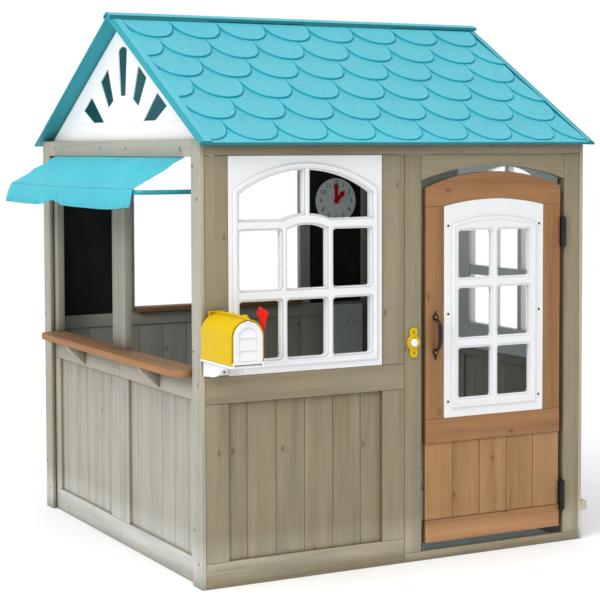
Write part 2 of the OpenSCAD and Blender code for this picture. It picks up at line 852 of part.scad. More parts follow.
// Screw heads on a face that looks along -Y, at a list of X and Z places
module front_heads(y, places) {
    for (p = places) translate([p[0], y - 1, p[1]]) rotate([-90, 0, 0]) cylinder(r = 3, h = 0.9);
}

module wall_screws() {
    pair = [for (z = [57, 474, 902]) each [[18.5, z], [43, z + 76]]];
    color(screw_brass) put() both_sides() {
        side_heads(pair);
        side_heads([for (p = pair) [p[0] + house_d - 49, p[1]]]);
        side_heads([for (y = [113, 446, 621, 970]) [y, 1019]]);
    }
}

module mailbox_screws() {
    color(screw_brass) put() {
        front_heads(-4.1, [[20.4, 503], [56.7, 503]]);
        front_heads(-5.1, [[24, 643], [53.5, 643]]);
        front_heads(-4.3, [for (s = [-1, 1]) [bell_x, bell_z + s * 25.5]]);
    }
}

module door_screws() {
    color(screw_brass) put() {
        front_heads(-2.1, [for (x = [671.3, 945.6], z = [389.5, 607.5, 826]) [x, z]]);
        front_heads(-3.1, [for (s = [-1, 1]) [door_x0 + 28, 558.5 + s * 52.5]]);
    }
}

module anchor_block() {
    color(side_wood) put() board([house_w + 0.2, 1, 74], [house_w + anchor_out, 21, 99]);
}

corner_boards();
front_rails();
front_stiles();
front_planks();
front_header();
front_window();
door_jambs();
door_arch();
door_sill();
left_rails();
left_stiles();
left_planks();
left_posts();
side_headers();
side_beams();
counter_shelf();
counter_brackets();
right_rails();
right_stiles();
right_planks();
right_window();
back_rails();
back_stiles();
back_planks();
back_header();
back_sill();
chalkboards();
clock_face();
clock_spindle();
kitchen_panel();
gable_left();
gable_right();
roof_front();
roof_back();
awning_frame();
awning_fabric();
awning_bolts();
hinge_frame_leaves();
hinge_pins();
doorbell_plate();
mailbox_body();
mailbox_base();
mailbox_bracket();
flag_pivot();
wall_screws();
mailbox_screws();
anchor_block();
door_stiles();
door_rails();
door_planks();
door_window();
door_handle();
hinge_door_leaves();
door_screws();
doorbell_button();
mailbox_door();
mailbox_flag();
minute_hand();
hour_hand();
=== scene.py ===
from math import asin, cos, exp, pi, radians, sin, sqrt, tan

import bmesh
import bpy
from mathutils import Matrix, Vector, noise


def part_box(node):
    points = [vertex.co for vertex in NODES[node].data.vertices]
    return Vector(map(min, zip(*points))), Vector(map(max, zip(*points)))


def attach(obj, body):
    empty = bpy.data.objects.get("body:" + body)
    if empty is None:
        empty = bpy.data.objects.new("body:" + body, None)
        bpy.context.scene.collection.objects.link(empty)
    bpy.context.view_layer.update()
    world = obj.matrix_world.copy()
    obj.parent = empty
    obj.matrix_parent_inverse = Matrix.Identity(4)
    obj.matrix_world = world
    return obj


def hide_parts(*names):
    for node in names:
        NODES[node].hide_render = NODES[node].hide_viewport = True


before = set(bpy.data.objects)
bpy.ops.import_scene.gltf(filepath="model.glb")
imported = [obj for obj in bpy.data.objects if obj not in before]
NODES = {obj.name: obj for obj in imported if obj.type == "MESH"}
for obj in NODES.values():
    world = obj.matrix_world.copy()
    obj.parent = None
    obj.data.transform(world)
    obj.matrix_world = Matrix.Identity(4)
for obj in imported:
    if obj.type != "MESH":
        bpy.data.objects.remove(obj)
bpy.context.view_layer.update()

# House coordinates in millimetres start at the front left corner of the base.
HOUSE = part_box("corner_boards")[0]
HOUSE_W, HOUSE_D = 1084.0, 1065.0
RIDGE_Y = HOUSE_D / 2
FRONTWARD = (0, -1, 0)


def at(x, y, z):
    return Vector((x / 1000 + HOUSE.x, y / 1000 + HOUSE.y, z / 1000))


def house_box(node):
    """Lowest and highest corners of a CAD node, in house millimetres."""
    low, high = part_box(node)
    return [((v.x - HOUSE.x) * 1000, (v.y - HOUSE.y) * 1000, v.z * 1000) for v in (low, high)]


# ---- materials

def srgb(r, g, b):
    def lin(c):
        c /= 255
        return c / 12.92 if c <= 0.04045 else ((c + 0.055) / 1.055) ** 2.4
    return (lin(r), lin(g), lin(b), 1)


class Nodes:
    """A small helper that adds shader nodes and links them."""

    def __init__(self, name):
        self.mat = bpy.data.materials.new(name)
        self.mat.use_nodes = True
        self.tree = self.mat.node_tree
        self.bsdf = self.tree.nodes["Principled BSDF"]

    def add(self, kind, inputs=None, **attrs):
        n = self.tree.nodes.new(kind)
        for k, v in attrs.items():
            setattr(n, k, v)
        for k, v in (inputs or {}).items():
            self.put(n.inputs[k], v)
        return n

    def put(self, socket, value):
        if isinstance(value, bpy.types.NodeSocket):
            self.tree.links.new(value, socket)
        else:
            socket.default_value = value

    def math(self, op, a, b=0.0):
        n = self.add("ShaderNodeMath", {0: a, 1: b}, operation=op)
        return n.outputs[0]

    def mul(self, a, b):
        return self.math("MULTIPLY", a, b)

    def plus(self, a, b):
        return self.math("ADD", a, b)

    def coords(self):
        """The object's own coordinates, in metres."""
        return self.add("ShaderNodeTexCoord").outputs["Object"]

    def vec(self, op, a, b):
        n = self.add("ShaderNodeVectorMath", {0: a, 1: b}, operation=op)
        return n.outputs[0]

    def ramp(self, value, *stops):
        n = self.add("ShaderNodeValToRGB")
        while len(n.color_ramp.elements) < len(stops):
            n.color_ramp.elements.new(0.5)
        for e, (p, c) in zip(n.color_ramp.elements, stops):
            e.position = p
            e.color = c
        self.put(n.inputs[0], value)
        return n.outputs["Color"]

    def fit(self, value, low, high, to_low=0.0, to_high=1.0):
        n = self.add("ShaderNodeMapRange", {"Value": value, "From Min": low, "From Max": high,
                                            "To Min": to_low, "To Max": to_high})
        return n.outputs[0]

    def mix(self, factor, a, b, blend="MIX"):
        """Mixes two colours; inputs 6 and 7 and output 2 are the colour ones of this node."""
        n = self.add("ShaderNodeMix", data_type="RGBA", blend_type=blend)
        for k, v in (("Factor", factor), (6, a), (7, b)):
            self.put(n.inputs[k], v)
        return n.outputs[2]

    def stain(self, factor, colour, by):
        """Multiplies a colour by another one, as far as factor says."""
        return self.mix(factor, colour, self.mix(1.0, colour, by, "MULTIPLY"))

    def noise(self, vector, scale, detail=3.0, rough=0.5, distortion=0.0):
        n = self.add("ShaderNodeTexNoise", {"Vector": vector, "Scale": scale, "Detail": detail,
                                            "Roughness": rough, "Distortion": distortion})
        return n.outputs["Fac"]

    def crevice(self, colour, dark, reach, low=0.35, high=0.95):
        """Paints shade into a colour where other surfaces come close: painted shade in corners and grooves.
        """
        n = self.add("ShaderNodeAmbientOcclusion", {"Distance": reach}, samples=6)
        return self.stain(self.fit(n.outputs["AO"], high, low), colour, dark)

    def bump(self, height, distance, strength=1.0):
        n = self.add("ShaderNodeBump", {"Height": height, "Distance": distance, "Strength": strength})
        return n.outputs[0]

    def set(self, **values):
        for k, v in values.items():
            self.put(self.bsdf.inputs[k.replace("_", " ")], v)
        return self.mat


def wood(name, light, mid, dark, warm, cool, edge, contrast):
    """Stained softwood: growth rings around a pith behind the board, streaks, stain patches and knots.

    It reads each board's own attributes. grain is (along, across, depth) in metres from the board's middle,
    and board is (tone, place across, place along), with both places from -1 to 1.
    """
    m = Nodes(name)
    grain = m.add("ShaderNodeAttribute", attribute_name="grain").outputs["Vector"]
    board = m.add("ShaderNodeAttribute", attribute_name="board").outputs["Vector"]
    tone, across, along = m.add("ShaderNodeSeparateXYZ", {0: board}).outputs
    tones = m.add("ShaderNodeCombineXYZ", {0: tone, 1: tone, 2: tone}).outputs[0]
    local = m.vec("ADD", grain, m.vec("MULTIPLY", tones, (31.0, 7.3, 11.9)))

    def drawn(seed, low, high):
        """A value from low to high that depends on the board's tone."""
        return m.fit(m.math("FRACT", m.mul(tone, seed)), 0, 1, low, high)

    # Knots sit at the middles of some Voronoi cells; away is the distance from the nearest middle.
    cell = m.add("ShaderNodeTexVoronoi", {"Vector": m.vec("MULTIPLY", local, (6.6, 11.0, 1.0)), "Scale": 1.0},
                 feature="F1", voronoi_dimensions="2D")
    pick = m.add("ShaderNodeSeparateColor", {0: cell.outputs["Color"]}).outputs[0]
    there = m.math("GREATER_THAN", pick, 0.74)
    away = m.plus(cell.outputs["Distance"], m.fit(m.noise(local, 160, 2), 0.3, 0.7, -0.012, 0.012))
    swirl = m.mul(m.math("POWER", m.fit(away, 0.26, 0.0), 2.0), there)

    split = m.add("ShaderNodeSeparateXYZ", {0: grain})
    wander = m.noise(m.vec("MULTIPLY", local, (1.5, 7.0, 7.0)), 1.0, 2)
    off_across = m.plus(drawn(17.31, -0.035, 0.035), m.fit(wander, 0, 1, -0.03, 0.03))
    off_depth = m.plus(drawn(5.77, 0.018, 0.06), m.fit(along, -1, 1, -0.006, 0.006))
    b = m.plus(split.outputs[1], off_across)
    c = m.plus(split.outputs[2], off_depth)
    radius = m.math("SQRT", m.plus(m.mul(b, b), m.mul(c, c)))
    radius = m.plus(radius, m.mul(swirl, 0.012))
    rings = m.math("FRACT", m.mul(radius, 185.0))
    late = m.math("POWER", rings, 2.4)
    late = m.mul(late, m.fit(rings, 1.0, 0.93, 0.0, 1.0))

    wide = m.noise(m.vec("MULTIPLY", local, (1.8, 34.0, 34.0)), 1.0, 3, 0.55)
    fine = m.noise(m.vec("MULTIPLY", local, (7.0, 420.0, 420.0)), 1.0, 4, 0.6)
    hair = m.noise(m.vec("MULTIPLY", local, (16.0, 1500.0, 1500.0)), 1.0, 2, 0.6)
    value = m.plus(m.mul(wide, 0.58), m.mul(fine, 0.42))
    value = m.math("SUBTRACT", value, m.mul(late, 0.04 * contrast))
    value = m.plus(value, drawn(3.7, -0.045 * contrast, 0.045 * contrast))
    colour = m.ramp(value, (0.30, dark), (0.47, mid), (0.66, light))
    patch = m.noise(m.vec("MULTIPLY", local, (3.0, 13.0, 13.0)), 1.0, 3, 0.55)
    patch2 = m.noise(m.vec("MULTIPLY", local, (5.0, 9.0, 9.0)), 1.7, 2, 0.5)
    colour = m.stain(m.fit(patch, 0.48, 0.72, 0, 0.55), colour, warm)
    colour = m.stain(m.fit(patch2, 0.46, 0.70, 0, 0.6), colour, cool)
    colour = m.stain(m.fit(hair, 0.52, 0.8, 0, 0.2), colour, (0.74, 0.70, 0.64, 1))
    rim = m.mul(m.fit(m.math("ABSOLUTE", across), 0.93, 1.0), m.fit(wide, 0.35, 0.6, 0.2, 0.8))
    colour = m.stain(rim, colour, edge)
    halo = m.mul(m.mul(m.math("POWER", m.fit(away, 0.17, 0.03), 1.6), there), 0.36)
    colour = m.stain(halo, colour, (0.74, 0.70, 0.66, 1))
    core = m.mul(m.mul(m.fit(away, 0.06, 0.022), there), 0.6)
    colour = m.stain(core, colour, (0.42, 0.33, 0.25, 1))
    # Painted shade where other surfaces come close, such as under the eave's overhang.
    colour = m.crevice(colour, (0.46, 0.42, 0.36, 1), 0.04)
    # Below 12 cm the boards get paler, fully so below 6 cm.
    up = m.add("ShaderNodeSeparateXYZ", {0: m.coords()}).outputs[2]
    paler_near_floor = m.mul(m.fit(up, 0.12, 0.06), m.fit(wide, 0.2, 0.6, 0.7, 1.0))
    colour = m.stain(paler_near_floor, colour, (1.40, 1.48, 1.64, 1))
    height = m.math("SUBTRACT", m.plus(m.mul(fine, 0.7), m.mul(hair, 0.5)),
                    m.plus(m.mul(late, 0.2), m.mul(core, 0.8)))
    rough = m.fit(value, 0.3, 0.65, 0.68, 0.54)
    return m.set(Base_Color=colour, Roughness=rough, Normal=m.bump(height, 0.0005, 0.55),
                 Specular_IOR_Level=0.3)


def dim(colour, r, g, b):
    """A colour with each channel scaled."""
    return (colour[0] * r, colour[1] * g, colour[2] * b, 1)


def plastic(name, colour, rough=0.4, stipple=0.0, scale=900, shade=0.06, specular=0.5, reach=0.0,
            deep=(0.72, 0.73, 0.75, 1), speck=(0.90, 0.93, 0.94, 1), flecks=0.5):
    """Moulded plastic with slight tone drift, uneven gloss, a fine moulded texture and, where reach is given,
    painted shade in its crevices, tinted by deep.
    """
    m = Nodes(name)
    coords = m.coords()
    drift = m.noise(coords, 5, 3, 0.55)
    fine = m.noise(coords, scale, 2, 0.6)
    tint = m.mix(m.fit(drift, 0.3, 0.7, 0, 1), colour, dim(colour, 1 - shade, 1 - shade, 1 - shade))
    tint = m.stain(m.fit(fine, 0.42, 0.68, 0, flecks), tint, speck)
    gloss = m.fit(m.noise(coords, 40, 3, 0.6), 0.3, 0.7, rough - 0.05, rough + 0.07)
    # Painted shade in crevices, in the deep tint.
    if reach:
        tint = m.crevice(tint, deep, reach, 0.45, 1.0)
    values = dict(Base_Color=tint, Roughness=gloss, Specular_IOR_Level=specular)
    if stipple:
        values["Normal"] = m.bump(fine, stipple, 1.0)
    return m.set(**values)


def metal(name, colour, rough, metallic, grain=0.0002):
    """Metal or painted metal with faint spots and an uneven gloss."""
    m = Nodes(name)
    coords = m.coords()
    spots = m.noise(coords, 120, 4, 0.6)
    tint = m.mix(m.fit(spots, 0.35, 0.7, 0, 0.6), colour, dim(colour, 0.7, 0.68, 0.66))
    gloss = m.fit(m.noise(coords, 300, 2), 0.3, 0.7, rough - 0.08, rough + 0.1)
    return m.set(Base_Color=tint, Roughness=gloss, Metallic=metallic,
                 Normal=m.bump(m.noise(coords, 1500, 2), grain, 0.6))


front_wood = wood("wood_front", srgb(154, 144, 117), srgb(143, 132, 107), srgb(127, 116, 93),
                  (1.10, 1.03, 0.86, 1), (0.88, 0.94, 1.03, 1), (1.10, 1.03, 0.86, 1), 0.9)
pale_wood = wood("wood_pale", srgb(178, 174, 160), srgb(168, 164, 151), srgb(153, 149, 136),
                 (1.10, 1.03, 0.88, 1), (0.86, 0.92, 1.02, 1), (1.12, 1.03, 0.86, 1), 0.9)
# The posts' wood is a darker copy of the pale wood: painted shade from the awning over them.
post_wood_shade = wood("wood_post_painted_shade", srgb(160, 158, 145), srgb(150, 148, 136), srgb(132, 129, 117),
                 (1.08, 1.02, 0.90, 1), (0.88, 0.93, 1.0, 1), (1.08, 1.02, 0.88, 1), 0.9)
brown_stain = (1.12, 1.04, 0.88, 1), (0.88, 0.89, 0.92, 1), (1.08, 1.03, 0.97, 1), 0.8
brown_wood = wood("wood_brown", srgb(174, 134, 91), srgb(161, 122, 81), srgb(144, 105, 68), *brown_stain)
frame_wood = wood("wood_brown_frame", srgb(161, 118, 78), srgb(149, 107, 69), srgb(131, 92, 59), *brown_stain)

# The reach and deep tint given below paint shade into each moulding's crevices and grooves; for the roof teal
# the painted shade is teal.
side_speck = (0.78, 0.90, 0.92, 1)
teal = plastic("teal_roof", srgb(92, 190, 206), 0.46, 0.0012, 170, 0.06, 0.35, 0.006,
               (0.2, 0.72, 0.8, 1), (0.66, 0.88, 0.92, 1), 1.0)
# A darker, more saturated copy of the roof's teal for the shingles' step walls: painted shade.
teal_step_shade = plastic("teal_roof_step_painted_shade", srgb(8, 150, 168), 0.55, 0.0002, 600, specular=0.2)
# Darker copies of the roof's teal for the undersides and rake ends, and darker still for the eave's face:
# painted shade.
teal_side_shade = plastic("teal_roof_side_painted_shade", srgb(44, 154, 167), 0.5, 0.0006, 420, 0.06, 0.3, 0.012,
                    (0.45, 0.72, 0.74, 1), side_speck)
teal_eave_shade = plastic("teal_roof_eave_painted_shade", srgb(28, 122, 128), 0.5, 0.0006, 420, 0.06, 0.3, speck=side_speck)
white = plastic("white_moulding", srgb(236, 236, 237), 0.36, 0.00006, 900, 0.02, 0.5, 0.007,
                (0.66, 0.67, 0.69, 1))
# A brighter copy of the white moulding for the gables: painted light.
gable_white_lit = plastic("white_gable_painted_light", srgb(251, 251, 251), 0.4, 0.0001, 900, 0.02, 0.4, 0.01,
                      (0.74, 0.75, 0.77, 1))
grey = plastic("grey_moulding", srgb(214, 214, 212), 0.45, 0.0001, 900, 0.03, reach=0.01)
dial_white = plastic("dial_white", srgb(250, 250, 248), 0.4, 0.00005, 900, 0.03)
yellow = plastic("yellow_moulding", srgb(218, 180, 0), 0.42, 0.00005, 900, 0.05, 0.15, 0.01,
                 (0.72, 0.62, 0.5, 1))
red = plastic("red_moulding", srgb(236, 18, 26), 0.4, 0.00004, 900, 0.05, 0.2)
ink = plastic("dial_ink", srgb(60, 60, 62), 0.5, 0.0, 900, 0.03)
teal_paint = metal("teal_tube_paint", srgb(26, 152, 164), 0.42, 0.0)
black_paint = metal("black_hardware", srgb(26, 26, 27), 0.42, 0.35, 0.0003)
zinc = metal("zinc_screw", srgb(156, 130, 84), 0.38, 0.9)
dark_screw = metal("dark_screw", srgb(64, 60, 54), 0.45, 0.7)
bronze_screw = metal("bronze_screw", srgb(112, 88, 56), 0.42, 0.8)


def chalk():
    """Black chalkboard paint with a haze of wiped chalk."""
    m = Nodes("chalkboard_paint")
    coords = m.coords()
    haze = m.noise(m.vec("MULTIPLY", coords, (1.0, 1.0, 0.35)), 9, 5, 0.65, 0.6)
    dust = m.noise(coords, 700, 2, 0.7)
    tint = m.mix(m.fit(haze, 0.5, 0.8, 0, 0.5), srgb(24, 24, 24), srgb(66, 68, 68))
    tint = m.mix(m.fit(dust, 0.55, 0.8, 0, 0.4), tint, srgb(52, 53, 53))
    return m.set(Base_Color=tint, Roughness=m.fit(haze, 0.3, 0.7, 0.72, 0.88),
                 Normal=m.bump(dust, 0.0002, 0.6), Specular_IOR_Level=0.3)


SEAM_AT, HEM_AT = 0.1487, 0.1960  # metres down the cloth


def cloth_mat():
    """Teal woven cloth with a seam at the fold, a stitched hem and a little light coming through."""
    m = Nodes("awning_weave")
    uv = m.add("ShaderNodeTexCoord").outputs["UV"]
    warp = m.add("ShaderNodeTexWave", {"Vector": uv, "Scale": 160.0, "Distortion": 0.5}, bands_direction="X")
    weft = m.add("ShaderNodeTexWave", {"Vector": uv, "Scale": 160.0, "Distortion": 0.5}, bands_direction="Y")
    weave = m.mul(warp.outputs["Fac"], weft.outputs["Fac"])
    slub = m.noise(m.vec("MULTIPLY", uv, (1.0, 0.05, 1.0)), 240, 3, 0.6)
    drift = m.noise(uv, 6, 4, 0.6)
    tint = m.ramp(m.plus(m.mul(slub, 0.5), m.mul(drift, 0.5)),
                  (0.32, srgb(44, 190, 207)), (0.5, srgb(64, 207, 222)), (0.68, srgb(90, 221, 234)))
    tint = m.mix(m.fit(weave, 0.0, 0.5, 0.22, 0.0), tint, srgb(36, 158, 180))
    down = m.add("ShaderNodeSeparateXYZ", {0: uv}).outputs[1]
    seam = m.fit(m.math("ABSOLUTE", m.math("SUBTRACT", down, SEAM_AT)), 0.0022, 0.0010, 0, 0.75)
    hem = m.fit(m.math("ABSOLUTE", m.math("SUBTRACT", down, HEM_AT)), 0.0013, 0.0006, 0, 0.6)
    dash = m.add("ShaderNodeTexWave", {"Vector": uv, "Scale": 60.0}, bands_direction="X").outputs["Fac"]
    line = m.math("MAXIMUM", seam, m.mul(hem, m.fit(dash, 0.25, 0.45)))
    tint = m.stain(line, tint, (0.2, 0.58, 0.64, 1))
    # The valance darkens towards its lower edge: painted shade in its gathers.
    tint = m.stain(m.fit(down, 0.15, 0.21, 0, 0.6), tint, (0.45, 0.88, 0.93, 1))
    m.set(Base_Color=tint, Roughness=0.78, Sheen_Weight=0.25, Sheen_Roughness=0.5, Specular_IOR_Level=0.25,
          Normal=m.bump(m.plus(weave, m.mul(slub, 0.6)), 0.0003, 0.5))
    glow = m.add("ShaderNodeBsdfTranslucent", {"Color": srgb(70, 204, 224)})
    both = m.add("ShaderNodeMixShader", {0: 0.25, 1: m.bsdf.outputs[0], 2: glow.outputs[0]})
    out = m.tree.nodes["Material Output"]
    m.put(out.inputs["Surface"], both.outputs[0])
    return m.mat


chalk_mat = chalk()
weave_mat = cloth_mat()

# ---- mesh tools


def link(obj):
    bpy.context.scene.collection.objects.link(obj)
    return obj


def piece(name, mesh, mats, body="house", replaces=(), smooth=38):
    """A finished piece in the part's frame, riding on a body."""
    obj = link(bpy.data.objects.new(name, mesh))
    for m in mats if isinstance(mats, (list, tuple)) else [mats]:
        mesh.materials.append(m)
    if smooth:
        mesh.shade_smooth()
        mesh.set_sharp_from_angle(angle=radians(smooth))
    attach(obj, body)
    if replaces:
        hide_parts(*replaces)
    return obj


def bevel(obj, width, segments=2, angle=35):
    m = obj.modifiers.new("soft_edges", "BEVEL")
    m.width = width / 1000
    m.segments = segments
    m.limit_method = "ANGLE"
    m.angle_limit = radians(angle)
    m.harden_normals = True
    return obj


def to_mesh(bm, name):
    """Turns a bmesh into a mesh and frees it."""
    me = bpy.data.meshes.new(name)
    bm.to_mesh(me)
    bm.free()
    return me


class Build:
    """Collects faces in house millimetres into one mesh."""

    def __init__(self):
        self.bm = bmesh.new()

    def ring(self, points):
        return [self.bm.verts.new(at(*p)) for p in points]

    def face(self, verts, mat=0):
        self.bm.faces.new(verts).material_index = mat

    def band(self, a, b, mat=0):
        """Faces between two rings with the same number of vertices."""
        n = len(a)
        for i in range(n):
            self.face((a[i], a[(i + 1) % n], b[(i + 1) % n], b[i]), mat)

    def prism(self, low, high, side_mat=0, top_mat=0, low_mat=0):
        """A closed prism between two outlines with the same number of points."""
        a, b = self.ring(low), self.ring(high)
        self.band(a, b, side_mat)
        self.face(a[::-1], low_mat)
        self.face(b, top_mat)

    def sweep(self, rings):
        """Skins rings of points, each a closed outline, and caps both ends."""
        rows = [self.ring(r) for r in rings]
        for a, b in zip(rows, rows[1:]):
            self.band(a, b)
        self.face(rows[0][::-1])
        self.face(rows[-1])

    def lathe(self, centre, axis, profile, steps=40, mat=0):
        """Turns (radius, height) points around an axis through centre; zero radius closes the end."""
        axis = Vector(axis).normalized()
        side = axis.orthogonal().normalized()
        other = axis.cross(side)
        turns = [2 * pi * i / steps for i in range(steps)]
        rows = []
        for r, h in profile:
            mid = Vector(centre) + axis * h
            rows.append(self.ring([mid + side * r * cos(t) + other * r * sin(t) for t in turns]
                                  if r else [mid]))
        for a, b in zip(rows, rows[1:]):
            if len(a) == len(b):
                self.band(a, b, mat)
                continue
            for i in range(steps):
                j = (i + 1) % steps
                self.face((a[0], b[j], b[i]) if len(a) == 1 else (a[i], a[j], b[0]), mat)

    def add_mesh(self, mesh):
        """Takes in a mesh that is already in the part's frame."""
        self.bm.from_mesh(mesh)
        bpy.data.meshes.remove(mesh)

    def mesh(self, name, fix_normals=True):
        if fix_normals:
            bmesh.ops.recalc_face_normals(self.bm, faces=self.bm.faces)
        return to_mesh(self.bm, name)


def curve_mesh(curve):
    """The mesh of a curve or a text, without materials; the curve is used up."""
    obj = link(bpy.data.objects.new("outline", curve))
    me = bpy.data.meshes.new_from_object(obj.evaluated_get(bpy.context.evaluated_depsgraph_get()))
    bpy.data.objects.remove(obj)
    bpy.data.curves.remove(curve)
    me.materials.clear()
    return me


def plate(loops, thick, soft, place, steps=2):
    """A plate cut out of closed outlines, the outside first, with rounded edges on both faces.

    place turns (u, v, w) in millimetres into house millimetres, with w through the thickness from its middle.
    """
    cu = bpy.data.curves.new("outline", "CURVE")
    cu.dimensions = "2D"
    cu.fill_mode = "BOTH"
    cu.extrude = (thick / 2 - soft) / 1000
    cu.bevel_depth = soft / 1000
    cu.bevel_resolution = steps
    cu.offset = -soft / 1000
    for loop in loops:
        sp = cu.splines.new("POLY")
        sp.points.add(len(loop) - 1)
        for p, (u, v) in zip(sp.points, loop):
            p.co = (u / 1000, v / 1000, 0, 1)
        sp.use_cyclic_u = True
    me = curve_mesh(cu)
    for v in me.vertices:
        v.co = at(*place(v.co.x * 1000, v.co.y * 1000, v.co.z * 1000))
    return me


def arc(cx, cy, r, a0, a1, n):
    turns = [a0 + (a1 - a0) * i / n for i in range(n + 1)]
    return [(cx + r * cos(a), cy + r * sin(a)) for a in turns]


def round_rect(x, z, w, h, r, n=6):
    q = pi / 2
    return (arc(x + w - r, z + r, r, -q, 0, n) + arc(x + w - r, z + h - r, r, 0, q, n)
            + arc(x + r, z + h - r, r, q, 2 * q, n) + arc(x + r, z + r, r, 2 * q, 3 * q, n))


def arch_top(x0, x1, spring, rise, n=40):
    """Points from right to left along a circular arch."""
    half = (x1 - x0) / 2
    radius = (half * half + rise * rise) / (2 * rise)
    mid, low = (x0 + x1) / 2, spring + rise - radius
    a = asin(half / radius)
    turns = [a - 2 * a * i / n for i in range(n + 1)]
    return [(mid + radius * sin(t), low + radius * cos(t)) for t in turns]


def arched(x0, x1, z0, spring, rise, n=40):
    """A closed outline, flat at z0 and arched on top."""
    return [(x0, z0), (x1, z0)] + arch_top(x0, x1, spring, rise, n)


# Places for plate: each stands or lies between two planes of the house.

def facing_front(y0, y1):
    return lambda u, v, w: (u, (y0 + y1) / 2 - w, v)


def facing_left(x0, x1):
    return lambda u, v, w: ((x0 + x1) / 2 + w, u, v)


def flat(z0, z1):
    return lambda u, v, w: (u, v, (z0 + z1) / 2 + w)

# ---- CAD boards


def islands(bm):
    """The connected groups of vertices, one for each board."""
    left = set(bm.verts)
    while left:
        group, queue = set(), [next(iter(left))]
        while queue:
            v = queue.pop()
            if v not in group:
                group.add(v)
                queue += [e.other_vert(v) for e in v.link_edges]
        left -= group
        yield group


def boards(names, mat, soft=1.6, body="house", steps=2):
    """Rebuilds CAD boards as clean solids with eased edges, and gives every board its own grain frame."""
    for n in names.split():
        bm = bmesh.new()
        bm.from_mesh(NODES[n].data)
        bmesh.ops.remove_doubles(bm, verts=bm.verts, dist=0.00002)
        bmesh.ops.dissolve_limit(bm, angle_limit=radians(1.5), verts=bm.verts, edges=bm.edges)
        hard = [e for e in bm.edges if len(e.link_faces) == 2 and e.calc_face_angle(0) > radians(30)]
        bmesh.ops.bevel(bm, geom=hard, offset=soft / 1000, offset_type="OFFSET", segments=steps, profile=0.6,
                        affect="EDGES", clamp_overlap=True)
        grain = bm.verts.layers.float_vector.new("grain")
        board = bm.verts.layers.float_vector.new("board")
        for group in islands(bm):
            lo = Vector([min(v.co[i] for v in group) for i in range(3)])
            hi = Vector([max(v.co[i] for v in group) for i in range(3)])
            mid, size = (lo + hi) / 2, hi - lo
            long, wide, thin = sorted(range(3), key=lambda i: -size[i])
            # Any fixed scramble of the board's place does, as long as it spreads over 0 to 1.
            tone = (sin(mid.x * 91.7 + mid.y * 57.3 + mid.z * 33.1) * 43758.5453) % 1.0
            for v in group:
                d = v.co - mid
                v[grain] = (d[long], d[wide], d[thin])
                v[board] = (tone, 2 * d[wide] / size[wide], 2 * d[long] / size[long])
        piece(n + "_timber", to_mesh(bm, n + "_timber"), mat, body, [n], 30)


def cad_look(names, mat, soft):
    """Gives CAD objects that stay in the picture a material and eased edges."""
    for n in names.split():
        obj = NODES[n]
        for slot in obj.material_slots:
            slot.material = mat
        obj.modifiers.new("weld", "WELD").merge_threshold = 0.00002
        bevel(obj, soft).modifiers[-1].harden_normals = False


boards("front_stiles front_planks door_jambs front_rails front_header door_arch door_sill",
       front_wood)
boards("corner_boards left_stiles left_planks left_rails right_stiles right_planks right_rails back_stiles "
       "back_planks back_rails back_header side_headers side_beams counter_brackets anchor_block",
       pale_wood)
boards("left_posts", post_wood_shade)
boards("counter_shelf back_sill", frame_wood, 3.5, steps=3)
boards("door_planks", brown_wood, 1.8, "door")
boards("door_stiles door_rails", frame_wood, 1.8, "door")
cad_look("chalkboards", chalk_mat, 0.5)
cad_look("kitchen_panel", grey, 1.2)
cad_look("awning_frame", teal_paint, 0.3)
cad_look("hinge_frame_leaves hinge_door_leaves hinge_pins", black_paint, 0.35)
cad_look("clock_spindle minute_hand hour_hand", red, 0.3)
cad_look("flag_pivot", yellow, 0.4)

# ---- roof

PITCH = radians(30)
TAN, SIN, COS = tan(PITCH), sin(PITCH), cos(PITCH)
roof_low, roof_high = house_box("roof_front")
EAVE_Y, EAVE_LOW, EAVE_Z = roof_low[1], roof_low[2], 1036.0
ROOF_X0, ROOF_X1 = roof_low[0], roof_high[0]
SLOPE = (RIDGE_Y - EAVE_Y) / COS
SHINGLE_W, SHINGLE_X0, SHINGLE_X1 = 132.4, 16.9, 1076.1
ROWS, TOP_NOTCH, ROW_STEP = 6, 628.5, 105.4


def on_slope(x, s, n, back):
    """House point at x, s up the slope from the eave, n out of the top plane."""
    y = EAVE_Y + s * COS - n * SIN
    z = EAVE_Z + s * SIN + n * COS
    return (x, HOUSE_D - y if back else y, z)


def shingle_outline(x0, x1, notch, depth, top):
    """Outlines of one shingle's face and of its wider foot, as (x, up the slope), clipped to the field.

    The lower end is a rounded half oval, depth below the notch between two shingles.
    """
    gap, splay, e = 1.3, 6.5, 2.25
    mid, half = (x0 + x1) / 2, (x1 - x0) / 2 - gap
    pairs = []
    for i in range(33):
        t = cos(pi * i / 32)
        bow = (1 - abs(t) ** e) ** (1 / e)
        x = mid - half * t
        if SHINGLE_X0 < x < SHINGLE_X1:
            foot = min(max(mid - (half + splay) * t, SHINGLE_X0), SHINGLE_X1)
            pairs.append(((x, notch - depth * bow), (foot, notch - (depth + splay) * bow)))
    if mid < SHINGLE_X0 + 1:
        pairs.insert(0, ((SHINGLE_X0, notch - depth), (SHINGLE_X0, notch - depth - splay)))
    if mid > SHINGLE_X1 - 1:
        pairs.append(((SHINGLE_X1, notch - depth), (SHINGLE_X1, notch - depth - splay)))
    return [[p[k] for p in pairs] + [(pairs[-1][k][0], top), (pairs[0][k][0], top)] for k in (0, 1)]


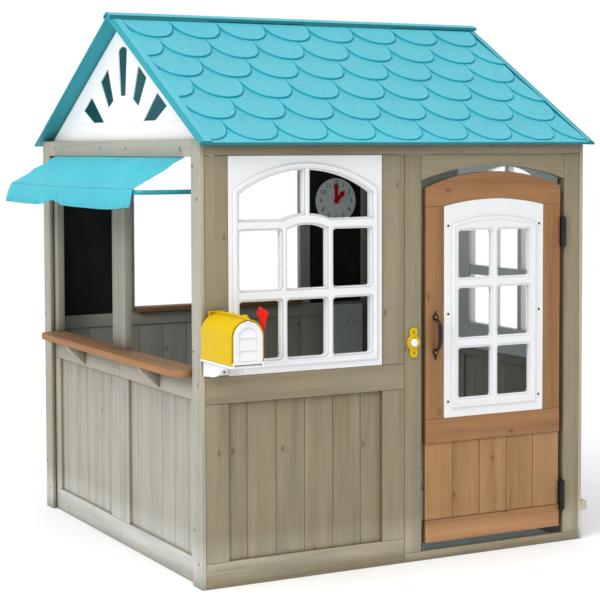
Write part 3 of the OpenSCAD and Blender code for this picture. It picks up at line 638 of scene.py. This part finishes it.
def roof_half(name, back):
    """One roof moulding: the field under the shingles, a rounded rake bar at each end, the shingles, and two
    of the four ridge caps, which alternate between the halves.
    """
    b = Build()
    rise = (RIDGE_Y - 1 - EAVE_Y) * TAN
    flip = (lambda y: HOUSE_D - y) if back else (lambda y: y)
    field = [(EAVE_Y + 0.3, EAVE_LOW + 0.4), (EAVE_Y + 0.3, EAVE_Z - 3.9)]
    field += [on_slope(0, s, n, False)[1:] for s, n in ((1.5, -3.3), (90, -8.6), (200, -9.6))]
    field += [(RIDGE_Y - 1, EAVE_Z + rise - 11.0), (RIDGE_Y - 1, EAVE_Z + rise - 12.9),
              (EAVE_Y + 5.8, EAVE_LOW + 0.4)]
    b.prism(*([(x, flip(y), z) for y, z in field] for x in (SHINGLE_X0 - 12, SHINGLE_X1 + 12)))

    def rake(x, over, under):
        """A cut across the rake bar, from over to under millimetres below the slope's top plane."""
        low = max(EAVE_LOW, EAVE_Z - under)
        return [(x, flip(y), z) for y, z in (
            (EAVE_Y, low), (EAVE_Y, EAVE_Z - over), (RIDGE_Y - 1, EAVE_Z + rise - over),
            (RIDGE_Y - 1, EAVE_Z + rise - under),
            (EAVE_Y + max(0.3, (low - EAVE_Z + under) / TAN), low + 0.05))]

    edge = [(0, 6.6, 9.6), (1.6, 4.9, 10.6), (4.4, 3.2, 11.6), (8.5, 1.9, 12.6), (13, 1.2, 13.3),
            (17, 0.9, 13.35)]
    b.sweep([rake(ROOF_X0 + x, o, u) for x, o, u in edge] + [rake(SHINGLE_X0 + 0.5, 1.2, 13.35)])
    b.sweep([rake(SHINGLE_X1 + 2.6, 1.2, 13.35)] + [rake(ROOF_X1 - x, o, u) for x, o, u in reversed(edge)])
    for row in range(ROWS):
        notch = TOP_NOTCH - ROW_STEP * row
        depth = 97.0 if row < ROWS - 1 else notch - 9.0
        top = min(notch + 112, SLOPE - 2)
        tip = notch - depth
        fall = 4.2 if row else 1.6
        odd = row % 2
        for k in range(8 + odd):
            x0 = SHINGLE_X0 - odd * SHINGLE_W / 2 + k * SHINGLE_W
            face, foot = shingle_outline(x0, x0 + SHINGLE_W, notch, depth, top)
            high = [on_slope(x, s, -0.7 - fall * (s - tip) / 105.5, back) for x, s in face]
            low = [on_slope(x, s, -10.5, back) for x, s in foot]
            b.prism(low, high, 1, 0, 1)
    quarter = (ROOF_X1 - ROOF_X0) / 4
    ridge_z = EAVE_Z + (RIDGE_Y - EAVE_Y) * TAN
    reach, crown = 22, 110
    cap = []
    for i in range(17):
        y = -reach + 2 * reach * i / 16
        cap.append((flip(RIDGE_Y + y), ridge_z + 4.5 - TAN * (sqrt(y * y + crown) - sqrt(crown))))
    cap += [(flip(RIDGE_Y + 21.2), ridge_z - 21.2 * TAN + 0.9), (flip(RIDGE_Y + 0.6), ridge_z + 0.6),
            (flip(RIDGE_Y - 1.5), ridge_z - 9), (flip(RIDGE_Y - reach), ridge_z - reach * TAN - 7)]
    for i in ((1, 3) if back else (0, 2)):
        x0 = ROOF_X0 + i * quarter + 0.3
        b.prism(*([(x, y, z) for y, z in cap] for x in (x0, x0 + quarter - 0.6)))
    mesh = b.mesh(name)
    # Undersides and the outer faces of the rakes get painted shade through a darker copy of the teal, and the
    # eave's face through a darker one still.
    for f in mesh.polygons:
        x = (f.center.x - HOUSE.x) * 1000
        if f.material_index == 0 and (f.normal.z < 0.4 or x < -2 or x > ROOF_X1 - 12.5):
            f.material_index = 3 if abs(f.normal.y) > 0.9 else 2
    bevel(piece(name, mesh, [teal, teal_step_shade, teal_side_shade, teal_eave_shade],
                replaces=["roof_back" if back else "roof_front"]), 1.6, 3, 40)


roof_half("roof_front_shingled", False)
roof_half("roof_back_shingled", True)

# ---- gables


# Slots of the right half of the sunburst, as (off the middle, height).
GABLE_RAYS = ([(102, 1227), (155, 1193.5), (102, 1123.5), (65, 1142.5)],
              [(221, 1155.5), (279.5, 1121), (209, 1087.5), (133, 1087.5)])


def gable(name, node, outside):
    """A triangular plate with a raised inner face and five slots; outside is -1 on the left wall."""
    (x0, _, _), (x1, _, _) = house_box(node)
    low, peak = 1039.2, 1345.0
    crown = [(29 * cos(q), 1266 + 12 * sin(q)) for q in (pi * k / 16 for k in range(17))]
    slots = [[(-17.5, 1153.5), (17.5, 1153.5)] + crown]
    slots += [[(side * a, z) for a, z in ray] for side in (-1, 1) for ray in GABLE_RAYS]
    slots = [[(RIDGE_Y + a, z) for a, z in loop] for loop in slots]
    outer = [(3, low), (1062, low), (RIDGE_Y, peak)]
    inner = [(RIDGE_Y - 348.4, 1084.5), (RIDGE_Y + 348.4, 1084.5), (RIDGE_Y, 1289)]
    b = Build()
    b.add_mesh(plate([outer] + slots, x1 - x0, 1.0, facing_left(x0, x1)))
    face = (x0 - 0.8, x0 + 1.2) if outside < 0 else (x1 - 1.2, x1 + 0.8)
    b.add_mesh(plate([inner] + slots, face[1] - face[0], 0.8, facing_left(*face)))
    piece(name, b.mesh(name, False), gable_white_lit, replaces=[node])


gable("gable_left_sunburst", "gable_left", -1)
gable("gable_right_sunburst", "gable_right", 1)

# ---- windows

PANE_X = [(99.7, 207.8), (224.5, 329.2), (348.0, 452.6)]


def wall_panes(g=0.0):
    """Outlines of the eight panes of a wall window, each grown outwards by g."""
    panes = []
    for i, (x0, x1) in enumerate(PANE_X):
        panes.append(round_rect(x0 - g, 526.4 - g, x1 - x0 + 2 * g, 136.1 + 2 * g, 8 + g * 0.5))
        if i != 1:
            panes.append(round_rect(x0 - g, 689 - g, x1 - x0 + 2 * g, 138 + 2 * g, 8 + g * 0.5))
    x0, x1 = PANE_X[1]
    panes.append(arched(x0 - g, x1 + g, 689 - g, 827 + g, 11.7, 20))
    big = arch_top(99.7 - g, 452.6 + g, 911.5 + g * 0.4, 56 + g * 0.6, 60)
    small = arch_top(PANE_X[1][0] - 9, PANE_X[1][1] + 9, 852.5 - g, 13, 24)[::-1]
    left_bar, right_bar = 267.3 + g, 284.7 - g
    left = [(99.7 - g, 853.5 - g)] + [p for p in small if p[0] < left_bar] + [(left_bar, 866 - g)]
    bar_top = max(z for x, z in big) - 0.2
    left += [(left_bar, bar_top)] + [p for p in big if p[0] < left_bar]
    right = [(right_bar, 866 - g)] + [p for p in small if p[0] > right_bar] + [(452.6 + g, 853.5 - g)]
    right += [p for p in big if p[0] > right_bar] + [(right_bar, bar_top)]
    return panes + [left, right]


def wall_window(name, node, place, top):
    """A wall's window unit: border with eight panes, raised arch, field and rim, and the ring inside.

    place turns (along the wall, depth into it, height) into house millimetres.
    """
    def spot(y0, y1):
        mid = (y0 + y1) / 2
        return lambda u, v, w: place(u, mid - w, v)

    b = Build()
    outer = [(70.2, 493.2), (481.4, 493.2), (481.4, top - 0.5), (70.2, top - 0.5)]
    b.add_mesh(plate([outer] + wall_panes(), 16.8, 1.2, spot(2.5, 19.3)))
    b.add_mesh(plate([outer, arched(86, 464.5, 512, 921, 60, 60)], 8, 1.4, spot(-0.4, 7.6), 3))
    frame_out = arched(82, 468.5, 508, 923, 62, 60)
    b.add_mesh(plate([frame_out] + wall_panes(4.4), 7.7, 2.4, spot(-3.2, 4.5), 4))
    rim_out = arched(84.5, 466, 510.5, 921.6, 61.2, 60)
    rim_in = arched(91.5, 459, 517.5, 917.5, 58.5, 60)
    b.add_mesh(plate([rim_out, rim_in], 5.8, 1.9, spot(-4.8, 1.0), 4))
    b.add_mesh(plate([round_rect(42, 454.7, 468, top + 23.5 - 454.7, 6),
                      arched(99, 453.5, 525.5, 912, 56.5, 60)], 3.8, 1.2, spot(19.5, 23.3)))
    piece(name, b.mesh(name, False), white, replaces=[node])


wall_window("front_window_moulded", "front_window", lambda u, y, v: (u, y, v), 1002.3)
wall_window("right_window_moulded", "right_window", lambda u, y, v: (HOUSE_W - 12.4 - y, u + 19.5, v), 999.0)


def door_window():
    """The door's window unit: border with six panes, raised field and rim."""
    b = Build()
    x0, x1 = 659.1, 959.3
    holes, grown = [], []
    for px in (702.4, 819.0):
        for z, h, soft in ((396.7, 123.9, 7), (547.0, 123.0, 7), (696.3, 117.0, 7)):
            holes.append(round_rect(px, z, 97.4, h, soft))
            grown.append(round_rect(px - 4.5, z - 4.5, 106.4, h + 9, soft + 2))
    border = arched(x0 + 0.3, x1 - 0.3, 349.5, 874.6, 17.0, 40)
    b.add_mesh(plate([border] + holes, 12.4, 1.3, facing_front(-0.4, 12)))
    b.add_mesh(plate([arched(682, 935.5, 372, 829, 20, 40)] + grown, 6.6, 2.2, facing_front(-3.2, 3.4), 4))
    rim = [arched(684, 933.5, 374.5, 828, 19.5, 40), arched(690, 927.5, 380.5, 823, 16.5, 40)]
    b.add_mesh(plate(rim, 5.4, 1.8, facing_front(-4.6, 0.8), 4))
    piece("door_window_moulded", b.mesh("door_window", False), white, "door",
          ["door_window"])


door_window()

# ---- awning cloth


def awning():
    """One sheet: it slopes from the beam to the fold over the front rod, and its valance hangs from there."""
    rows_v, cols_u = 56, 216
    y0, y1 = 96.0, 965.0
    top = Vector((8.5, 1000.8))
    fold = Vector((-124.5, 927.0))
    fold_at = 0.72
    bm = bmesh.new()
    uv = bm.loops.layers.uv.new("cut")
    grid = []
    for i in range(cols_u + 1):
        u = i / cols_u
        col = []
        for j in range(rows_v + 1):
            v = j / rows_v
            y = y0 + (y1 - y0) * u
            if v <= fold_at:
                t = v / fold_at
                p = top.lerp(fold, t)
                sag = 5.0 * sin(pi * t) * (0.6 + 0.4 * sin(pi * u))
                pull = 1 - 2.4 * abs(noise.noise(Vector((y / 85 - t * 1.7, t * 0.9, 3.1))))
                fine = 1 - 2.4 * abs(noise.noise(Vector((y / 36 - t * 2.6, t * 1.6, 9.4))))
                crease = (4.6 * pull ** 3 + 2.2 * fine * fine) * sin(pi * min(1, t * 1.15)) ** 0.6
                x, z = p.x, p.y - sag + crease - 3.0 * sin(pi * u) * t
            else:
                t = (v - fold_at) / (1 - fold_at)
                p = fold
                flare = 4 + 17 * u ** 2.2
                wave = 5.0 * sin(2 * pi * (1.6 * u + 0.15)) + 2.4 * sin(2 * pi * (4.3 * u + 0.4))
                notch = exp(-((u - 0.6) / 0.055) ** 2)
                drop = 48.5 - 12.0 * notch + 1.2 * sin(9 * u) - 6.5 * exp(-(u / 0.1) ** 2)
                bend = min(1.0, t * 4.0)
                x = p.x - 2.6 * sin(bend * pi / 2) - flare * t - wave * t * 0.45 * t + 5 * notch * t
                z = p.y - 3.0 * sin(pi * u) - 1.2 * bend - drop * t
                x += (2.2 + 4.2 * u) * noise.noise(Vector((y / 24, t * 0.8, 5.5))) * t
            col.append(bm.verts.new(at(x, y, z)))
        grid.append(col)
    for i in range(cols_u):
        for j in range(rows_v):
            f = bm.faces.new((grid[i][j], grid[i + 1][j], grid[i + 1][j + 1], grid[i][j + 1]))
            for loop, (a, c) in zip(f.loops, ((i, j), (i + 1, j), (i + 1, j + 1), (i, j + 1))):
                loop[uv].uv = (a / cols_u * 0.869, c / rows_v * 0.205)
    me = to_mesh(bm, "awning_cloth")
    o = piece("awning_cloth", me, weave_mat, "house", ["awning_fabric"], 0)
    me.shade_smooth()
    shell = o.modifiers.new("cloth_thickness", "SOLIDIFY")
    shell.thickness = 0.0007
    shell.offset = 0


awning()

# ---- doorbell


BELL_X, BELL_Z = 569.7, 543.0


def doorbell():
    """A plate with a round middle and a lobe above and below, a raised ring, and the domed button."""
    cx, cz = BELL_X, BELL_Z
    round_r, lobe_r, lobe_at, neck_at = 19.0, 11.5, 26, 14
    tall = lobe_at + lobe_r
    right = []
    for i in range(61):
        z = tall - 2 * tall * i / 60
        a = abs(z)
        w = sqrt(max(0.0, round_r ** 2 - z * z))
        lobe = lobe_r
        if a > lobe_at:
            lobe = sqrt(max(0.0, lobe_r ** 2 - (a - lobe_at) ** 2))
        elif a > neck_at:
            lobe -= 1.2 * sin(pi * (a - neck_at) / (lobe_at - neck_at))
        right.append((max(w, lobe), z))
    loop = [(cx + w, cz + z) for w, z in right] + [(cx - w, cz + z) for w, z in reversed(right[1:-1])]
    b = Build()
    b.add_mesh(plate([loop], 4, 1.3, facing_front(-4.2, -0.2), 3))
    b.lathe((cx, -0.5, cz), FRONTWARD, [(15.6, 0), (15.6, 3.4), (15.2, 4.6), (14.0, 5.8), (12.6, 6.1),
                                        (11.4, 5.6), (10.9, 4.6), (10.9, 1.0)])
    piece("doorbell_plate_moulded", b.mesh("bell"), yellow, "house", ["doorbell_plate"])
    b = Build()
    b.lathe((cx, -3.6, cz), FRONTWARD, [(0, 0), (10.4, 0), (10.4, 3.6), (10.1, 4.7), (9.3, 5.7), (8.0, 6.5),
                                        (6.0, 7.1), (3.4, 7.4), (0, 7.5)])
    piece("doorbell_button_dome", b.mesh("bell_dome"), white, "doorbell_button",
          ["doorbell_button"])


doorbell()

# ---- door handle


HANDLE_X, HANDLE_Z = 633.6, 558.5


def door_handle():
    """Two round plates with a pointed tip, and a bowed grip of oval section between them."""
    x, z = HANDLE_X, HANDLE_Z
    b = Build()
    for s in (1, -1):
        rosette = arc(x, z + s * 43, 8.2, radians(65 * s), radians((65 - 360 + 50) * s), 28)
        tip = [(x - 2.0 * s, z + s * 53.5), (x, z + s * 60), (x + 2.0 * s, z + s * 53.5)]
        b.add_mesh(plate([rosette + tip], 3.2, 1.2, facing_front(-3.4, -0.2), 3))
    rings, steps = [], 32
    for i in range(steps + 1):
        t = -1 + 2 * i / steps
        zz = z + 38 * sin(t * 1.45) / sin(1.45)
        y = -3.0 - 21.5 * max(0.0, 1 - abs(t) ** 2.3) ** 0.8
        wide = 3.1 + 3.2 * (1 - t * t) ** 0.9
        deep = 2.6 + 0.9 * (1 - t * t)
        rings.append((zz, y, wide, deep))
    outline = []
    for i, (zz, y, wide, deep) in enumerate(rings):
        a, c = rings[max(i - 1, 0)], rings[min(i + 1, steps)]
        d = Vector((0, c[1] - a[1], c[0] - a[0])).normalized()
        n = Vector((0, d.z, -d.y))
        outline.append([Vector((x, y, zz)) + Vector((1, 0, 0)) * wide * cos(q) + n * deep * sin(q)
                        for q in (2 * pi * k / 16 for k in range(16))])
    b.sweep(outline)
    piece("door_handle_forged", b.mesh("handle"), black_paint, "door", ["door_handle"], 45)


door_handle()

# ---- mailbox

MX, MS = 38.5, 600.5  # middle of the mailbox, and the height its arch springs from


def mail_arch(half, low):
    return [(MX - half, low), (MX + half, low)] + arc(MX, MS, half, 0, pi, 40)


def mail_hoop(inner, outer, low, steps):
    """The mailbox's arch as a hoop, open at the bottom."""
    return ([(MX - outer, low), (MX - inner, low)] + arc(MX, MS, inner, 0, pi, 40)[::-1]
            + [(MX + inner, low), (MX + outer, low)] + arc(MX, MS, outer, 0, pi, steps))


def mailbox():
    # The body, with its back wall, rim, crest, crest roller, screw tab and hinge lugs.
    b = Build()
    b.add_mesh(plate([mail_hoop(37, 41, 539.3, 48)], 158, 1.6, facing_front(-162, -4), 3))
    b.add_mesh(plate([mail_arch(39, 540)], 3.4, 1.2, facing_front(-7.6, -4.2)))
    b.add_mesh(plate([mail_hoop(33, 38, 541, 40)], 4, 0.8, facing_front(-161.5, -157.5)))
    crest = [(-5, 638), (-5, 646), (-20, 646.2), (-42, 646.8), (-70, 648.2), (-95, 648.8), (-118, 647.6),
             (-136, 645.6), (-146, 645.4)]
    crest += [(-150 + 6.5 * cos(q), 644.5 + 6.0 * sin(q))
              for q in (radians(a) for a in (70, 95, 120, 145, 165))]
    crest += [(-161, 645.2), (-168, 642.0), (-168.5, 640.2), (-160, 639.6), (-150, 638.5)]
    b.add_mesh(plate([crest], 9, 2.2, facing_left(34, 43), 3))
    roller = [(0, 0), (4.6, 0), (6.0, 1.2), (6.0, 10.8), (4.6, 12), (0, 12)]
    b.lathe((MX - 6.0, -149.5, 644.0), (1, 0, 0), roller, 28)
    tab = [(18, 612), (59.5, 612), (59.5, 641)]
    tab += arc(55.5, 643, 4, 0, pi / 2, 5) + arc(22, 643, 4, pi / 2, pi, 5)
    b.add_mesh(plate([tab], 4.2, 1.2, facing_front(-4.8, -0.6)))
    for s in (-1, 1):
        lug = round_rect(MX + s * 38.5 - 2.6, -168.5, 5.2, 8, 1.8)
        b.add_mesh(plate([lug], 5.5, 1.0, flat(539.2, 544.7)))
    piece("mailbox_body_moulded", b.mesh("mail_body", False), yellow, "house",
          ["mailbox_body"])

    b = Build()
    b.add_mesh(plate([round_rect(MX - 42, -164.6, 84, 164.0, 4)], 5.6, 1.8, flat(533.2, 538.8), 3))
    for s in (-1, 1):
        lug = round_rect(MX + s * 36.6 - 2.4, -169.0, 4.8, 6.5, 1.5)
        b.add_mesh(plate([lug], 12.5, 1.2, flat(533.3, 545.8)))
    piece("mailbox_base_moulded", b.mesh("mail_base", False), white, "house",
          ["mailbox_base"])

    # The wall bracket: a plate on the wall and two scrolled cheeks under the base.
    b = Build()
    b.add_mesh(plate([round_rect(4.4, 497, 68.1, 35.8, 2)], 3.4, 1.0, facing_front(-4.0, -0.6)))
    scroll = [(-2, 532.9), (-2, 497.4), (-34, 500)]
    scroll += [(-34 - 58 * sin(q), 500 + 24 * (1 - cos(q)))
               for q in (radians(a) for a in range(12, 91, 6))]
    scroll += [(-100, 522.6), (-122, 527.2), (-133, 528.6), (-142, 529.8), (-150, 532.9)]
    for x0 in (4.6, 68.0):
        b.add_mesh(plate([scroll], 4.2, 1.0, facing_left(x0, x0 + 4.2)))
    piece("mailbox_bracket_moulded", b.mesh("mail_bracket", False), white, "house",
          ["mailbox_bracket"])

    # The door, with a rim, a raised line and three sloping slats in an arched opening.
    b = Build()
    back, front = -162.7, -167.3
    leaf = mail_arch(35.4, 540.6)
    b.add_mesh(plate([leaf], 2.6, 0.9, facing_front(front + 2.0, back)))
    panel = [(MX - 22, 548), (MX + 22, 548)] + arc(MX, 601, 22, 0, pi, 30)
    b.add_mesh(plate([leaf, panel], 3.2, 1.2, facing_front(front, back - 1.4), 3))
    line = [mail_arch(28.5, 543.4), mail_arch(26.5, 545.4)]
    b.add_mesh(plate(line, 1.6, 0.7, facing_front(front - 0.5, front + 1.1)))
    y0, y1 = front + 0.6, back - 2.2
    for z0, z1 in ((548.6, 571), (571.6, 599.4), (600, 623)):
        rings = []
        for f in (k / 10 for k in range(11)):
            y, z = y0 + (y1 - y0) * f, z0 + (z1 - z0) * f
            half = 22 if z <= 601 else sqrt(max(1.0, 21.8 ** 2 - (z - 601) ** 2))
            rings.append([(MX - half, y, z), (MX + half, y, z), (MX + half, back - 1.0, z),
                          (MX - half, back - 1.0, z)])
        b.sweep(rings)
    knob = [(MX - 5, 633.5), (MX + 5, 633.5), (MX + 4, 637.8), (MX - 4, 637.8)]
    b.add_mesh(plate([knob], 6, 1.2, facing_front(front - 1.4, back)))
    piece("mailbox_door_louvred", b.mesh("mail_door", False), white, "mailbox_door",
          ["mailbox_door"])

    b = Build()
    flag = [(-128, 582), (-136, 611), (-142.3, 636.8), (-121.3, 644.4), (-136.8, 665.5), (-178.3, 656),
            (-163, 630.9), (-155.3, 608.8)]
    hub = arc(-136, 582, 8, radians(180), radians(360), 16)
    b.add_mesh(plate([flag + hub], 3, 0.9, facing_left(80.5, 83.5)))
    piece("mailbox_flag_moulded", b.mesh("mail_flag", False), red, "mailbox_flag",
          ["mailbox_flag"])


mailbox()

# ---- clock


def clock():
    """The dial, and generic numerals with minute marks printed on it."""
    cx, cz = 940.0, 856.0
    (_, face_y, _), (_, back_y, _) = house_box("clock_face")
    deep = back_y - face_y
    b = Build()
    b.lathe((cx, back_y, cz), FRONTWARD,
            [(0, 0), (68.6, 0), (69.8, 0.8), (70, 2.4), (69.8, deep - 0.6), (68.8, deep - 0.05),
             (66.5, deep - 0.1), (65.8, deep - 0.9), (3.0, deep - 0.9), (3.0, 0)], 72)
    piece("clock_dial", b.mesh("dial"), dial_white, "house", ["clock_face"])
    b = Build()
    for hour in range(1, 13):
        text = bpy.data.curves.new("digit", "FONT")
        text.body = str(hour)
        text.size = 0.021
        text.align_x = text.align_y = "CENTER"
        text.extrude = 0.0002
        me = curve_mesh(text)
        a = radians(90 - 30 * hour)
        x, z = cx + 53 * cos(a), cz + 53 * sin(a)
        for v in me.vertices:
            v.co = at(x + v.co.x * 1000, face_y + 0.75 - v.co.z * 1000, z + v.co.y * 1000)
        b.add_mesh(me)
    centre = Vector((cx, face_y + 0.9, cz))
    for k in range(60):
        a = radians(6 * k)
        width, start = (0.7, 62.6) if k % 5 else (1.3, 61.6)
        out, side = Vector((cos(a), 0, sin(a))), Vector((-sin(a), 0, cos(a)))
        corners = (start, -1), (start, 1), (65, 1), (65, -1)
        mark = [centre + out * r + side * w * width / 2 for r, w in corners]
        b.prism(mark, [p + Vector((0, -0.25, 0)) for p in mark])
    piece("clock_numerals", b.mesh("numerals", False), ink, "house", smooth=0)


clock()

# ---- screws


def screw_heads(name, spots, body, replaces, mat=zinc):
    """Countersunk heads; spots are (centre, outward direction, radius, material index if it isn't 0)."""
    b = Build()
    for centre, way, r, *kind in spots:
        profile = [(r, -0.4), (r, 0.25), (r * 0.9, 0.55), (r * 0.55, 0.75), (r * 0.34, 0.78), (r * 0.2, 0.15),
                   (0, 0.05)]
        b.lathe(centre, way, profile, 16, *kind)
    piece(name, b.mesh(name), mat, body, replaces, 50)


wall_spots = []
near = [p for z in (57, 474, 902) for p in ((18.5, z), (43, z + 76))]
for y, z in near + [(y + HOUSE_D - 49, z) for y, z in near] + [(y, 1019) for y in (113, 446, 621, 970)]:
    wall_spots += [((0, y, z), (-1, 0, 0), 3.0), ((HOUSE_W, y, z), (1, 0, 0), 3.0)]
screw_heads("wall_screw_heads", wall_spots, "house", ["wall_screws"], bronze_screw)
screw_heads("fitting_screw_heads",
            [((x, -4.2, 503), FRONTWARD, 3.2) for x in (20.4, 56.7)]
            + [((x, -4.9, 642), FRONTWARD, 2.8) for x in (24, 54)]
            + [((BELL_X, -4.3, BELL_Z + s * 25.5), FRONTWARD, 3.2) for s in (1, -1)],
            "house", ["mailbox_screws"])
screw_heads("door_screw_heads",
            [((x, -0.5, z), FRONTWARD, 3.2) for x in (671.3, 945.6) for z in (389.5, 607.5, 826)]
            + [((HANDLE_X, -3.5, HANDLE_Z + s * 43.5), FRONTWARD, 3.4, 1) for s in (-1, 1)],
            "door", ["door_screws"], [dark_screw, zinc])
(_, bolt_y0, _), (_, bolt_y1, _) = house_box("awning_bolts")
screw_heads("awning_bolt_heads",
            [((22, bolt_y0 + 2.7, 918), (0, 1, 0), 5.0), ((22, bolt_y1 - 2.7, 918), FRONTWARD, 5.0)],
            "house", ["awning_bolts"])

# ---- stage


NEAR_SKY, FAR_SKY = 0.42, 1.05  # strength of the sky behind the camera and behind the house


def area(name, where, target, size, power, colour):
    data = bpy.data.lights.new(name, "AREA")
    data.shape = "DISK"
    data.size = size
    data.energy = power
    data.color = colour
    lamp = link(bpy.data.objects.new(name, data))
    lamp.location = where
    lamp.rotation_euler = (Vector(target) - Vector(where)).to_track_quat("-Z", "Y").to_euler()


def stage():
    """A white floor, a sky that is brighter on the far side, soft light from above, a key and a fill."""
    bm = bmesh.new()
    bmesh.ops.create_grid(bm, x_segments=4, y_segments=4, size=30)
    me = to_mesh(bm, "floor")
    floor = link(bpy.data.objects.new("floor", me))
    m = Nodes("floor_paper")
    coords = m.coords()
    paper = m.mix(m.noise(coords, 3, 3), (0.93, 0.93, 0.93, 1), (0.955, 0.955, 0.955, 1))
    m.set(Base_Color=paper, Roughness=0.95, Specular_IOR_Level=0.0)
    me.materials.append(m.mat)
    world = bpy.data.worlds.new("studio")
    bpy.context.scene.world = world
    world.use_nodes = True
    w = world.node_tree
    bg = w.nodes["Background"]
    way = w.nodes.new("ShaderNodeTexCoord")
    toward = w.nodes.new("ShaderNodeVectorMath")
    toward.operation = "DOT_PRODUCT"
    toward.inputs[1].default_value = (0.47, 0.88, 0.0)
    bright = w.nodes.new("ShaderNodeMapRange")
    for k, v in zip(("From Min", "From Max", "To Min", "To Max"), (0.6, 0.9, NEAR_SKY, FAR_SKY)):
        bright.inputs[k].default_value = v
    w.links.new(way.outputs["Generated"], toward.inputs[0])
    w.links.new(toward.outputs["Value"], bright.inputs["Value"])
    w.links.new(bright.outputs[0], bg.inputs["Strength"])
    bg.inputs[0].default_value = (0.98, 0.99, 1.0, 1)
    top = bpy.data.lights.new("ceiling_bank", "SUN")
    top.energy = 2.0
    top.angle = radians(55)
    lamp = link(bpy.data.objects.new("ceiling_bank", top))
    lamp.rotation_euler = Vector((-0.26, -0.22, 0.94)).to_track_quat("Z", "Y").to_euler()
    area("key", (-5.0, -2.2, 3.2), (0, 0, 0.7), 2.2, 120, (0.97, 0.99, 1.0))
    area("fill", (1.6, -5.8, 2.0), (0, 0, 0.6), 2.6, 24, (1.0, 0.97, 0.92))


stage()
bpy.context.scene.view_settings.view_transform = "Standard"

# The camera was solved from the photograph's wall and roof edges.
cam_data = bpy.data.cameras.new("camera")
cam_data.lens = 100.56
cam_data.sensor_width = 36
cam_data.shift_y = -0.1005
cam = link(bpy.data.objects.new("camera", cam_data))
yaw, pitch, roll = radians(28.0245), radians(3.1144), radians(-0.177)
look = Vector((sin(yaw) * cos(pitch), cos(yaw) * cos(pitch), -sin(pitch)))
right = Vector((cos(yaw), -sin(yaw), 0))
up = right.cross(look)
right, up = right * cos(roll) + up * sin(roll), up * cos(roll) - right * sin(roll)
cam.matrix_world = Matrix((
    (right.x, up.x, -look.x, 0), (right.y, up.y, -look.y, 0), (right.z, up.z, -look.z, 0), (0, 0, 0, 1)))
cam.location = at(-1591.25, -3472.57, 1017.64)
bpy.context.scene.camera = cam
